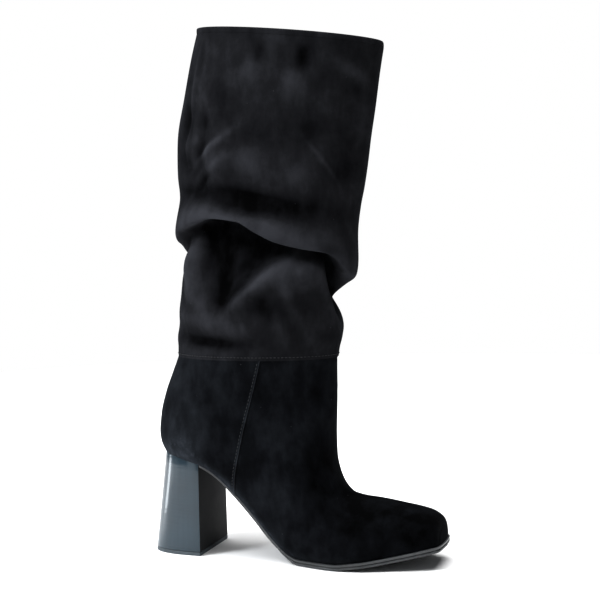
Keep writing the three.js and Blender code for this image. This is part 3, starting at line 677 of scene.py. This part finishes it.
# %% Dents and creases of the shaft
DENTS = [
    (56, 0.262, 25, 0.058, -0.1, 0.1), (84, 0.215, 20, 0.035, -0.3, 0.06),
    (24, 0.265, 16, 0.04, 0.1, -0.01), (62, 0.1, 10, 0.06, 0.6, 0.04), (134, 0.29, 10, 0.08, 0, 0.09),
    (107, 0.24, 8, 0.09, 0, -0.06), (128, 0.125, 26, 0.025, 0.08, 0.03),
    (116, 0.05, 28, 0.02, 0.05, -0.05), (146, 0.72, 10, 0.06, 0.1, -0.07),
    (112, 0.62, 18, 0.045, 0, 0.05), (142, 0.6, 14, 0.04, 0.15, -0.05), (84, 0.93, 7, 0.05, 0, -0.035),
    (68, 0.92, 6, 0.045, 0, -0.03), (230, 0.68, 22, 0.07, -0.1, -0.06), (262, 0.58, 22, 0.06, 0.1, 0.05),
    (285, 0.9, 14, 0.07, 0, -0.03), (300, 0.25, 18, 0.06, 0.2, 0.07),
]
CREASES = [
    (95, 0.94, 3.5, 0.04, 0, -0.022), (70, 0.95, 3.5, 0.04, 0, -0.022), (86, 0.93, 4, 0.05, 0.2, 0.016),
    (98, 0.89, 6, 0.04, 0, 0.014), (72, 0.85, 6, 0.045, 0, 0.014), (34, 0.91, 16, 0.022, 0.16, 0.016),
    (34, 0.87, 16, 0.03, 0.16, -0.014), (142, 0.86, 2.5, 0.12, 0, 0.02), (143, 0.66, 2.5, 0.07, 0, 0.02),
    (126, 0.735, 5, 0.035, 0.2, -0.03), (125, 0.63, 5, 0.04, -0.2, -0.045),
    (118, 0.65, 14, 0.016, -0.36, 0.035), (124, 0.555, 7, 0.016, -0.4, -0.05),
    (118, 0.585, 12, 0.014, -0.3, 0.025), (95, 0.63, 9, 0.035, 0, 0.022),
    (48, 0.63, 14, 0.012, 0.45, 0.012), (30, 0.6, 12, 0.045, 0, -0.02), (62, 0.72, 20, 0.05, 0.1, -0.012),
    (138, 0.27, 7, 0.08, 0, 0.03), (120, 0.31, 5, 0.07, 0.2, -0.025), (104, 0.25, 5, 0.08, 0.4, -0.035),
    (74, 0.27, 24, 0.028, -0.36, 0.04), (84, 0.32, 14, 0.03, -0.36, -0.04),
    (26, 0.3, 8, 0.035, 0.4, -0.05), (55, 0.17, 12, 0.04, 0.6, 0.03), (70, 0.155, 9, 0.035, 0.2, -0.03),
    (118, 0.15, 26, 0.03, 0.2, 0.03), (112, 0.05, 24, 0.018, 0.0, -0.035),
]
SEAM_FADE = 0.06
COLLAR_FADE = 0.04


def dents(rows, height, turn):
    """Sum of the soft spots of a table at heights and turns."""
    push = 0
    for at, level, around, up, slant, share in rows:
        aside = (turn - at + 540) % 360 - 180
        line = level + slant * aside / 90
        push = push + share * np.exp(-((aside / around) ** 2) - ((height - line) / up) ** 2)
    return push


def slouch(height, turn):
    """How far the suede is pushed out and how far it falls, in millimetres."""
    push = dents(DENTS + CREASES, height, turn)
    droop = 0
    for level, out, fall, above, below in folds:
        off = height - level(turn)
        swell = np.exp(-((off / np.where(off > 0, above(turn), below(turn))) ** 2))
        push = push + out(turn) * swell
        droop = droop + fall(turn) * swell
    held = smooth_step(height, 0, SEAM_FADE) * smooth_step(1 - height, 0, COLLAR_FADE)
    return push * held * SHAFT_WIDTH, droop * held * SHAFT_WIDTH


print("dents and creases:", len(DENTS), len(CREASES))

# %% Points of the shaft
seam_low = foot_point(np.array([float(SEAM_ROW)]), np.array([np.pi]))[0]
seam_top = foot_point(np.array([float(SEAM_ROW)]), np.array([0.0]))[0]
SEAM_MIDDLE = (seam_low[0] + seam_top[0]) / 2
SEAM_HALF = (seam_top[0] - seam_low[0]) / 2
SEAM_HALF_WIDTH = ANKLE_WIDTH / 2


def shaft_point(height, turn, lift=0.0):
    """Points of the shaft at heights from 0 to 1 and turns in degrees, lifted off level."""
    height, turn = np.asarray(height, float), np.asarray(turn, float)
    share = {name: shaft_curve[name](height) for name in SHAFT_COLUMNS[1:]}
    half = share["ankle"] * SEAM_HALF + share["length"] * SHAFT_LENGTH / 2
    half_width = share["ankle"] * SEAM_HALF_WIDTH + share["width"] * SHAFT_WIDTH / 2
    middle = SEAM_MIDDLE + share["lean"] * SHAFT_LEAN
    push, droop = slouch(height, turn)
    ahead, aside = np.cos(np.radians(turn)), -np.sin(np.radians(turn))
    out = np.stack([ahead * half_width, aside * half], -1)
    out = out / np.linalg.norm(out, axis=-1, keepdims=True)
    x = middle + ahead * half + out[..., 0] * (push + lift)
    y = aside * half_width + out[..., 1] * (push + lift)
    tilt = height * COLLAR_DROP * ((x - middle) / SHAFT_LENGTH + 0.5)
    z = SEAM_HEIGHT + FIT / 2 + height * SHAFT_HEIGHT - tilt - droop
    return np.stack([x, y, z], -1)


print("collar from", shaft_point(1, 180).round(1), "to", shaft_point(1, 0).round(1))

# %% [markdown]
# The tube is one grid, wrapped round until its sides meet at the back, where the real shaft is sewn.
# Its lowest rows stand out a little, because the shaft laps over the foot at the ankle seam. The rows
# lie closer where the folds are. Painted light comes from the shape: ridges pale, as highlight and rubbed
# nap, hollows dark and tucks near black, as shade. A table of painted highlights and shades adds to it.

# %% Shaft
SHAFT_LAP, LAP_FALL = 0.9, 1.2
LAP_END, FALL_END = 0.035, 0.02
SHAFT_WALL = 1.0
ROUND, UP = 216, 208
# Base value, relief that gives the full painted highlight, and shares of the painted light spots and of the
# near-black painted shade in the tucks.
SHAFT_LEVEL, RELIEF_FULL, LIGHT_SPOT_SHARE, TUCK_SHADE_SHARE = 0.45, 12, 0.55, 0.5
DEEP_FROM, DEEP_TO = 4, 13
fine_rows = through([0, 0.12, 0.75, 1], [0, 0.12, 0.58, 1])


def shading_relief_of(relief, reach):
    """How far each point stands out of its neighbourhood, so that ridges are painted pale, as highlight and
    rubbed nap, and hollows dark, as shade.
    """
    soft, count = relief, 2 * reach + 1
    for _ in range(3):
        wide = np.concatenate([soft[:, -reach - 1:-1], soft, soft[:, 1:reach + 1]], axis=1)
        soft = sum(wide[:, k:k + soft.shape[1]] for k in range(count)) / count
        tall = np.pad(soft, ((reach, reach), (0, 0)), mode="edge")
        soft = sum(tall[k:k + soft.shape[0]] for k in range(count)) / count
    return relief - soft


# Painted highlights along lips and ridges and painted shade in troughs and creases: the columns are those of
# the dents.
PAINTED_LIGHT_SPOTS = [
    (98, 0.9, 9, 0.05, 0, 0.5), (86, 0.945, 5, 0.04, 0, 0.4), (72, 0.855, 8, 0.05, 0.1, 0.5),
    (34, 0.914, 15, 0.022, 0.16, 0.4), (134, 0.88, 4, 0.08, 0.3, 0.45), (127, 0.8, 4, 0.06, 0.5, 0.35),
    (91, 0.615, 7, 0.045, 0, 0.5), (118, 0.65, 14, 0.014, -0.36, 0.45), (48, 0.63, 16, 0.01, 0.45, 0.3),
    (70, 0.585, 26, 0.035, 0, 0.2), (118, 0.58, 14, 0.012, -0.3, 0.3),
    (100, 0.478, 24, 0.012, 0.06, 0.12), (95, 0.955, 3, 0.03, 0, -0.35), (70, 0.955, 3, 0.03, 0, -0.35),
    (126, 0.735, 4, 0.03, 0.2, -0.6), (125, 0.635, 4, 0.04, -0.2, -0.8),
    (124, 0.547, 6, 0.014, -0.4, -0.9), (31, 0.6, 10, 0.045, 0, -0.3), (61, 0.72, 24, 0.05, 0.1, -0.15),
    (90, 0.51, 24, 0.013, 0.05, -0.45), (46, 0.475, 18, 0.016, 0.06, 0.15),
    (104, 0.24, 5, 0.08, 0.4, -0.35), (119, 0.33, 5, 0.05, 0.2, -0.3), (69, 0.17, 12, 0.04, 0.2, -0.25),
    (115, 0.045, 22, 0.012, 0, -0.3), (135, 0.28, 7, 0.1, 0, 0.15), (112, 0.16, 14, 0.025, 0.3, 0.3),
    (88, 0.1, 10, 0.02, 0.6, 0.25), (72, 0.275, 20, 0.014, -0.36, 0.35), (44, 0.25, 12, 0.06, 0, 0.25),
    (32, 0.1, 14, 0.06, 0, 0.2), (20, 0.8, 12, 0.1, 0, 0.12), (31, 0.088, 12, 0.05, 0, -0.2),
    (140, 0.5, 12, 0.012, 0, 0.25), (111, 0.78, 11, 0.06, 0.3, -0.5), (60, 0.9, 6, 0.05, 0.2, -0.15),
    (92, 0.238, 11, 0.05, 0.2, -0.7), (98, 0.497, 18, 0.018, 0.04, -0.45),
    (72, 0.44, 16, 0.007, 0.22, 0.3), (70, 0.883, 9, 0.03, 0, 0.2),
]


def lay_shaft(across, along):
    turn, height = 180 + 360 * across, fine_rows(along)
    points = shaft_point(height, turn % 360, SHAFT_LAP * (1 - smooth_step(height, 0, LAP_END)))
    points[:, 2] -= LAP_FALL * (1 - smooth_step(height, 0, FALL_END))
    return points


shaft = laid_grid("shaft", ROUND, UP, lay_shaft, [suede, lining, cut_edge])
up, round_it = np.meshgrid(np.linspace(0, 1, UP + 1), np.linspace(0, 1, ROUND + 1), indexing="ij")
turn_map = (180 + 360 * round_it) % 360
push_map, droop_map = slouch(fine_rows(up), turn_map)
# Relief paints ridges pale, as highlight and rubbed nap, and hollows dark, as shade.
relief = shading_relief_of(push_map, 5) + 0.6 * shading_relief_of(push_map, 12)
print("relief from", round(relief.min(), 1), "to", round(relief.max(), 1), "mm")
painted_light_map = dents(PAINTED_LIGHT_SPOTS, fine_rows(up), turn_map)
# deep marks the tucks beneath the rolls, painted near black as shade.
deep = smooth_step(-push_map - 0.6 * droop_map, DEEP_FROM, DEEP_TO)
keep_light_and_wear(shaft, (SHAFT_LEVEL + relief / RELIEF_FULL + LIGHT_SPOT_SHARE * painted_light_map - TUCK_SHADE_SHARE * deep).ravel())
close_edges(shaft)
give_wall(shaft, SHAFT_WALL)
# The cut edge shows only at the ankle seam; at the top the suede is turned over.
for face in shaft.data.polygons:
    if face.material_index == 2 and face.center.z > (SEAM_HEIGHT + SHAFT_HEIGHT / 2) * MM:
        face.material_index = 0
finished(shaft, "slouch_shaft")

# %% [markdown]
# ## The collar
# At the top the suede is turned over a tape, so the edge is thicker than the wall and rounded. Its
# section runs once round the collar. The lower part is tucked in behind the shaft, so that the two
# faces meet flush.

# %% Collar edge
COLLAR_LEVEL = 0.5
# The edge's section: millimetres out from the face of the shaft, then up from the shaft's top.
COLLAR_SECTION = [
    (-0.3, -1.2), (-0.3, -0.2), (-0.12, 0.1), (0, 0.5), (0.05, 1.2), (0.06, 2.2), (0.02, 3.2), (-0.14, 4),
    (-0.5, 4.55), (-1.1, 4.8), (-1.7, 4.6), (-2.15, 4.1), (-2.4, 3.2), (-2.4, 1.6), (-2.4, 0),
    (-2.4, -1.2), (-1.4, -1.3), (-0.3, -1.2),
]


def lay_collar(across, along):
    row = np.rint(along * (len(COLLAR_SECTION) - 1)).astype(int)
    out, up = np.array(COLLAR_SECTION)[row].T
    points = shaft_point(np.ones_like(across), (180 + 360 * across) % 360, out)
    points[:, 2] += up
    return points


collar = laid_grid("collar_edge", ROUND, len(COLLAR_SECTION) - 1, lay_collar, [suede])
keep_light_and_wear(collar, np.full(len(collar.data.vertices), COLLAR_LEVEL))
close_edges(collar)
finished(collar, "collar_binding")

# %% [markdown]
# ## The sole
# The sole has two edge layers with a fine groove between them. It is thick under the ball of the foot
# and thins to a blade along the waist, up to the heel. The edge's own section is carried round the
# outline of the foot, and the same rows run on across the top and the bottom.

# %% Outline of the foot on the feather line
WAIST_END, BALL_START = 0.36 * FOOT_LENGTH, 0.45 * FOOT_LENGTH
EDGE_SAMPLES = 700


def ballness(x):
    """0 along the waist, 1 under the ball of the foot."""
    return smooth_step(x, WAIST_END, BALL_START)


def run_of(line):
    """How far each point of a line lies along it."""
    return np.concatenate([[0], np.cumsum(np.linalg.norm(np.diff(line, axis=0), axis=1))])


def read_off(places, run, values):
    """Rows of values at places along a run."""
    return np.stack([np.interp(places, run, column) for column in values.T], -1)


def plan_edge(side, count, back_x):
    """Evenly spaced points of one side, [x, y], from the middle of the toe back to back_x."""
    place = np.linspace(0, HEEL_ROW, EDGE_SAMPLES)
    p = feather_point(place, side)
    keep = p[:, 0] > back_x
    toe = np.array([[TOE_END + TOE_DOME * s, p[0, 1] * (1 - s)] for s in (1.0, 0.8, 0.5, 0.2)])
    line = np.vstack([toe, p[keep][:, :2]])
    run = run_of(line)
    return read_off(np.linspace(0, run[-1], count), run, line)


def sole_depth(x):
    slope = feather(x + 1) - feather(x - 1)
    waist = WAIST_THICKNESS * np.hypot(1, slope / 2)
    return waist + (SOLE_THICKNESS - waist) * ballness(x)


def sole_level(x, depth):
    """Height in the sole at a share of its depth."""
    return feather(x) - FIT / 2 - depth * (sole_depth(x) - FIT / 2)


SOLE_ROWS = 150
edges = {side: plan_edge(side, SOLE_ROWS + 1, BREAST + FIT) for side in (1, -1)}
print("sole from x", edges[1][-1, 0].round(1), "to", edges[1][0, 0].round(1))

# %% Sole
# Each row: depth as a share of the sole, margin as a share of the sole's margin, inset in millimetres.
SOLE_EDGE = [
    (0.0, 0.2, 0.5), (0.02, 0.75, 0.1), (0.08, 1.0, 0), (0.34, 1.0, 0), (0.4, 0.9, 0.05),
    (0.43, 0.36, 0.15), (0.54, 0.36, 0.15), (0.57, 0.9, 0.05), (0.63, 1.0, 0), (0.88, 1.0, 0),
    (0.96, 0.8, 0.2), (1.0, 0.3, 0.6),
]
ACROSS = 12


def sole_row_points():
    """All points of the sole, row by row: across the top, down one edge, back under, up the other."""
    normals = {}
    for side in (1, -1):
        step = np.gradient(edges[side], axis=0)
        out = np.stack([-step[:, 1], step[:, 0]], -1) * (1 if side > 0 else -1)
        normals[side] = out / np.linalg.norm(out, axis=1, keepdims=True)
        normals[side][0] = (1, 0)

    def edge_point(side, depth, margin, inset):
        ball = ballness(edges[side][:, 0])[:, None]
        flat = edges[side] + normals[side] * (margin * SOLE_MARGIN * ball - inset * (0.4 + 0.6 * ball))
        return np.column_stack([flat, sole_level(flat[:, 0], depth)])

    outer = [edge_point(1, *row) for row in SOLE_EDGE]
    inner = [edge_point(-1, *row) for row in SOLE_EDGE]
    over = [inner[0] + (outer[0] - inner[0]) * k / ACROSS for k in range(1, ACROSS)]
    under = [outer[-1] + (inner[-1] - outer[-1]) * k / ACROSS for k in range(1, ACROSS)]
    points = np.array(over + outer + under + inner[::-1] + over[:1])
    for start, depth in ((0, 0), (len(over + outer), 1)):
        flat = slice(start, start + len(over))
        points[flat, :, 2] = sole_level(points[flat, :, 0], depth)
    return points


sole_net = sole_row_points()


def lay_sole(across, along):
    column = np.rint(across * (len(sole_net) - 1)).astype(int)
    row = np.rint(along * SOLE_ROWS).astype(int)
    return sole_net[column, row]


def cap_open_ends(obj):
    """Fills each open edge loop with a face."""
    choose(obj, "EDIT")
    bpy.ops.mesh.select_mode(type="EDGE")
    bpy.ops.mesh.select_all(action="DESELECT")
    bpy.ops.mesh.select_non_manifold(extend=False)
    bpy.ops.mesh.edge_face_add()
    bpy.ops.mesh.select_mode(type="VERT")
    face_outwards()


sole_finish = plain_material("painted sole edge", (0.054, 0.057, 0.06), 0.42, 0.12, 700, coat=0.25)
sole = laid_grid("sole", len(sole_net) - 1, SOLE_ROWS, lay_sole, [sole_finish])
close_edges(sole)
cap_open_ends(sole)
finished(sole, "outsole")

# %% [markdown]
# ## The block heel
# The heel is a turned and lacquered block. Its back is round, its breast flat, and it widens down to
# the floor. It is drawn as a D on the floor and extruded upwards, ring by ring, to the seat.

# %% Rings of the heel
HEEL_POINTS = 97
heel_turn = np.pi * (np.linspace(0, 1, HEEL_POINTS) - 0.5)


def seat_place():
    """Where the low line of the foot rises through the feather line behind the heel."""
    def under(place):
        low = foot_point(place, np.full_like(place, np.pi))
        return low[..., 2] < feather(low[..., 0])

    return float(halved(np.array([5.0]), np.array([SEAM_ROW], float), under)[0])


seat = seat_place()
seat_back_x = float(foot_point(np.array([seat]), np.array([np.pi]))[0, 0])


def seat_half(side):
    place = np.linspace(seat, BALL_ROW, 60)
    p = feather_point(place, side)
    p[0] = (seat_back_x, 0, 0)
    order = np.argsort(p[:, 0])
    return p[order, 0], np.abs(p[order, 1])


def d_curve(front, back):
    return front - (front - back) * np.abs(np.cos(heel_turn)) ** (2 / HEEL_CORNER)


foot_x = d_curve(BREAST, BREAST - HEEL_LENGTH)
foot_y = HEEL_WIDTH / 2 * np.sign(heel_turn) * np.abs(np.sin(heel_turn)) ** (2 / HEEL_CORNER)
seat_xs = d_curve(BREAST, seat_back_x)
inner_half, outer_half = np.interp(seat_xs, *seat_half(-1)), np.interp(seat_xs, *seat_half(1))
seat_y = np.sign(heel_turn) * np.where(heel_turn < 0, outer_half, inner_half)
seat_y[np.abs(heel_turn) < 1e-9] = 0
seat_z = feather(seat_xs)


def heel_ring(level, inset=0.0):
    """Ring of the heel; level is a share of the way from the floor to the seat at each point."""
    x, y, z = foot_x + (seat_xs - foot_x) * level, foot_y + (seat_y - foot_y) * level, seat_z * level
    scale = 1 - inset / (HEEL_WIDTH / 2)
    return np.stack([BREAST / 2 + (x - BREAST / 2) * scale, y * scale, z], -1)


print("heel seat reaches back to", round(seat_back_x, 1), "mm")

# %% Extruding a block ring by ring
def extruded_block(name, rings, materials):
    """A filled circle takes the first ring's shape and is extruded to each of the others."""
    select_none()
    bpy.ops.mesh.primitive_circle_add(vertices=len(rings[0]), radius=0.01, fill_type="NGON")
    obj = dressed(name, materials)
    bpy.ops.object.mode_set(mode="EDIT")
    mesh = bmesh.from_edit_mesh(obj.data)
    mesh.verts.ensure_lookup_table()
    ring_verts = list(mesh.verts)
    ring_verts.sort(key=lambda v: math.atan2(v.co.y, v.co.x))
    for vert, p in zip(ring_verts, rings[0]):
        vert.co = Vector(p) * MM
    for ring, before in zip(rings[1:], rings[:-1]):
        bpy.ops.mesh.extrude_region_move()
        mesh = bmesh.from_edit_mesh(obj.data)
        moved = [v for v in mesh.verts if v.select]
        for vert in moved:
            k = int(np.argmin(np.sum((before * MM - np.array(vert.co)) ** 2, axis=1)))
            vert.co = Vector(ring[k]) * MM
        bmesh.update_edit_mesh(obj.data)
    face_outwards()
    return obj


def bevel_sharp(obj, width):
    """Rounds every sharp edge."""
    choose(obj)
    soft = obj.modifiers.new("soft edge", "BEVEL")
    soft.width = width * MM
    soft.segments = 3
    soft.limit_method = "ANGLE"
    soft.angle_limit = SHARP
    bpy.ops.object.modifier_apply(modifier=soft.name)


print("ready to extrude blocks")

# %% [markdown]
# The lacquer is thin and clear over a grey blue shade. Fine ripples run across it, so that a light
# behind the heel is drawn out in a broken streak. The breast is covered in plain matt material, dark as
# painted shade.

# %% Heel lacquer
def lacquer_material():
    material, tree, shader = new_material("heel lacquer")
    place = object_place(tree)
    streaks = noise(tree, place, 300, 3, 0.6, (1, 1, 0.02))
    colour = ramp(tree, streaks, [(0.3, (0.012, 0.032, 0.048)), (0.75, (0.018, 0.041, 0.059))])
    clouds = ramp(tree, noise(tree, place, 22, 2, 0.5), [(0.35, 0.72), (0.65, 1.0)])
    colour = blend(tree, 1.0, colour, clouds, "MULTIPLY")
    tree.links.new(colour, shader.inputs["Base Color"])
    tree.links.new(ramp(tree, streaks, [(0.3, 0.3), (0.75, 0.38)]), shader.inputs["Roughness"])
    settle(shader, {"Coat Weight": 0.6, "Coat Roughness": 0.07})
    grain = bump(tree, shader, streaks, 0.05, 0.1)
    ripples = bump(tree, shader, noise(tree, place, 420, 1, 0.4, (0.1, 0.1, 1)), 0.45, 0.25, grain)
    tree.links.new(ripples, shader.inputs["Coat Normal"])
    return material


HEEL_BEVEL = 0.5
LEVELS = np.linspace(0, 1, 9)
first_level = (TOP_PIECE + FIT) / seat_z
last_level = 1 - FIT / 2 / seat_z
heel_rings = [heel_ring(first_level + (last_level - first_level) * t) for t in LEVELS]
# The breast's near black colour is painted shade.
shaded_breast_finish = plain_material("covered breast", (0.009, 0.0095, 0.011), 0.75, 0.2, 700)
heel = extruded_block("heel", heel_rings, [lacquer_material(), shaded_breast_finish])
bevel_sharp(heel, HEEL_BEVEL)
for face in heel.data.polygons:
    face.material_index = int(face.normal.x > 0.9)
finished(heel, "block_heel")

# %% [markdown]
# The top piece is the thin wearing layer under the heel. It is matt, of nearly the block's own shade,
# and a hair smaller than the block.

# %% Top piece
top_finish = plain_material("top piece rubber", (0.07, 0.086, 0.097), 0.55, 0.3, 1200)
# Heights and insets in millimetres.
TOP_RINGS = [(0, 0.5), (0.4, 0.15), (TOP_PIECE, 0.15)]
top_rings = [heel_ring(height / seat_z, inset) for height, inset in TOP_RINGS]
top_piece = extruded_block("top_piece", top_rings, [top_finish])
finished(top_piece, "heel_top_piece")

# %% [markdown]
# ## The insole
# The sock lining inside is only seen from above. The CAD's own insole has the right shape, so it
# stays and just gets its leather.

# %% Insole
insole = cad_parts["insole"]
insole.data.materials.clear()
insole.data.materials.append(plain_material("sock lining", (0.03, 0.028, 0.027), 0.5, 0.2))
print("insole keeps its CAD shape")

# %% [markdown]
# ## Seams
# Thread holds the panels. One stitch is modelled: a small ball drawn out along the thread. It is then
# set again and again along each seam, turned each time to follow it.

# %% One stitch
def stitch_model():
    """Points and faces of one stitch, a unit long along x."""
    select_none()
    bpy.ops.mesh.primitive_uv_sphere_add(segments=6, ring_count=5, radius=0.5)
    obj = bpy.context.object
    points = np.array([v.co[:] for v in obj.data.vertices])
    faces = [tuple(p.vertices) for p in obj.data.polygons]
    bpy.data.objects.remove(obj, do_unlink=True)
    return points[:, [2, 1, 0]], [tuple(reversed(face)) for face in faces]


STITCH = stitch_model()
print("one stitch has", len(STITCH[1]), "faces")

# %% Rows of stitches
THREAD_RISE, SIDE_INSET = 0.12, 1.8
ANKLE_LEVEL, ANKLE_DROP = 0.008, 0.6


def stitch_row(name, line, outward, pitch=3.0, length=2.2, thick=0.55):
    """Stitches along a line of points; outward gives the direction away from the surface."""
    run = run_of(line)
    places = np.arange(pitch / 2, run[-1] - pitch / 4, pitch)
    at, out = read_off(places, run, line), read_off(places, run, outward)
    ahead = read_off(places + 0.5, run, line) - at
    points, faces = [], []
    for p, a, o in zip(at, ahead, out):
        a = a / max(np.linalg.norm(a), 1e-9)
        o = o - a * np.dot(a, o)
        o = o / np.linalg.norm(o)
        side = np.cross(o, a)
        local = STITCH[0] * (length, thick, thick * 0.8)
        base = len(points) * len(STITCH[0])
        points.append(p + local[:, :1] * a + local[:, 1:2] * side + local[:, 2:] * o)
        faces += [tuple(base + i for i in face) for face in STITCH[1]]
    mesh = bpy.data.meshes.new(name)
    mesh.from_pydata((np.vstack(points) * MM).tolist(), [], faces)
    mesh.materials.append(thread)
    obj = bpy.data.objects.new(name, mesh)
    bpy.context.collection.objects.link(obj)
    close_edges(obj, 0.001)
    finished(obj)


def side_row(side, inset):
    """Line on the quarter, a little behind its cut edge, and its outward directions."""
    place = np.linspace(seam_start(side, inset) + 0.1, SEAM_ROW - 0.3, 300)
    turn = side * seam_turn(place, side, inset)
    normal = foot_normal(place, turn)
    return foot_point(place, turn) + (SEAM_LAP + THREAD_RISE) * normal, normal


stitch_row("side_seam_outer", *side_row(1, SIDE_INSET))
stitch_row("side_seam_inner", *side_row(-1, SIDE_INSET))
round_turns = np.linspace(0, 360, 361) % 360
level = np.full(len(round_turns), ANKLE_LEVEL)
ankle_line = shaft_point(level, round_turns, SHAFT_LAP + THREAD_RISE)
ankle_out = shaft_point(level, round_turns, SHAFT_LAP + 1) - ankle_line
ankle_line[:, 2] -= ANKLE_DROP
stitch_row("ankle_seam_stitches", ankle_line, ankle_out)

# %% [markdown]
# ## Floor, light and camera
# The floor is plain and pale. Large soft lights keep the black suede readable. A small one close behind
# the heel, hidden from the camera, draws the streak on it. Only the camera sees the white backdrop.
# The camera stands where the photograph was taken from, and only a little above the floor.

# %% Floor
select_none()
bpy.ops.mesh.primitive_circle_add(vertices=128, radius=1.3, fill_type="NGON", location=(0.1, 0.2, 0))
floor = bpy.context.object
floor.name = "floor"
floor_material, _, floor_shader = new_material("pale floor")
settle(floor_shader, {"Base Color": (0.9, 0.9, 0.9, 1), "Roughness": 0.9})
floor.data.materials.append(floor_material)
print("floor is", floor.dimensions[0], "m wide")

# %% Lights
def soft_light(name, place, size, power, colour=(1, 1, 1), aim=(0.07, 0, 0.2)):
    light = bpy.data.lights.new(name, "AREA")
    light.shape = "RECTANGLE"
    light.size, light.size_y = size
    light.energy = power
    light.color = colour
    obj = bpy.data.objects.new(name, light)
    bpy.context.collection.objects.link(obj)
    obj.location = place
    obj.rotation_euler = (Vector(aim) - Vector(place)).to_track_quat("-Z", "Y").to_euler()
    return obj


soft_light("window from the left", (-0.75, -0.75, 1.15), (0.4, 0.4), 22, (0.96, 0.98, 1), (0.08, 0, 0.36))
soft_light("ceiling", (0.1, 0.1, 2.6), (3.0, 3.0), 150, (1, 1, 1), (0.1, 0.1, 0))
soft_light("reflector", (-0.75, -1.7, 0.45), (0.8, 1.2), 5, (0.93, 0.97, 1), (0.02, 0, 0.1))
streak = soft_light(
    "heel streak", (-0.19, -0.045, 0.047), (0.045, 0.075), 0.1, (0.93, 0.97, 1), (-0.02, -0.02, 0.045)
)
streak.visible_camera = False
world = bpy.data.worlds.new("pale room")
bpy.context.scene.world = world
world.use_nodes = True
room = world.node_tree
settle(room.nodes["Background"], {"Color": (0.95, 0.97, 1, 1), "Strength": 0.1})
backdrop, seen, mixed = add(room, "Background"), add(room, "LightPath"), add(room, "MixShader")
settle(backdrop, {"Color": (1, 1, 1, 1)})
room.links.new(seen.outputs["Is Camera Ray"], mixed.inputs["Fac"])
room.links.new(room.nodes["Background"].outputs["Background"], mixed.inputs[1])
room.links.new(backdrop.outputs["Background"], mixed.inputs[2])
room.links.new(mixed.outputs["Shader"], room.nodes["World Output"].inputs["Surface"])
bpy.context.scene.view_settings.view_transform = "Standard"
bpy.context.scene.view_settings.gamma = 0.78

# %% Camera
AZIMUTH, ELEVATION, ROLL = math.radians(21.32), math.radians(3.12), math.radians(-1.36)
DISTANCE = 0.9608
FITTED_AIM = Vector((0.073, 0, 0.214))
BOOT_MIDDLE = Vector((0.102, 0.011, 0.208))
FRAME_PIXELS = 600
FOCAL_PIXELS = 733 * 1.6
level_part = math.cos(ELEVATION)
stand = Vector((math.sin(AZIMUTH) * level_part, -math.cos(AZIMUTH) * level_part, math.sin(ELEVATION)))
select_none()
bpy.ops.object.camera_add(location=FITTED_AIM + stand * DISTANCE)
camera = bpy.context.object
camera.rotation_euler = (BOOT_MIDDLE - camera.location).to_track_quat("-Z", "Y").to_euler()
camera.rotation_euler.rotate_axis("Z", ROLL)
camera.data.sensor_width = 36
camera.data.lens = 36 * FOCAL_PIXELS / FRAME_PIXELS
camera.data.clip_start = 0.01
bpy.context.scene.camera = camera
print("camera at", [round(v, 3) for v in camera.location], "lens", round(camera.data.lens, 1))
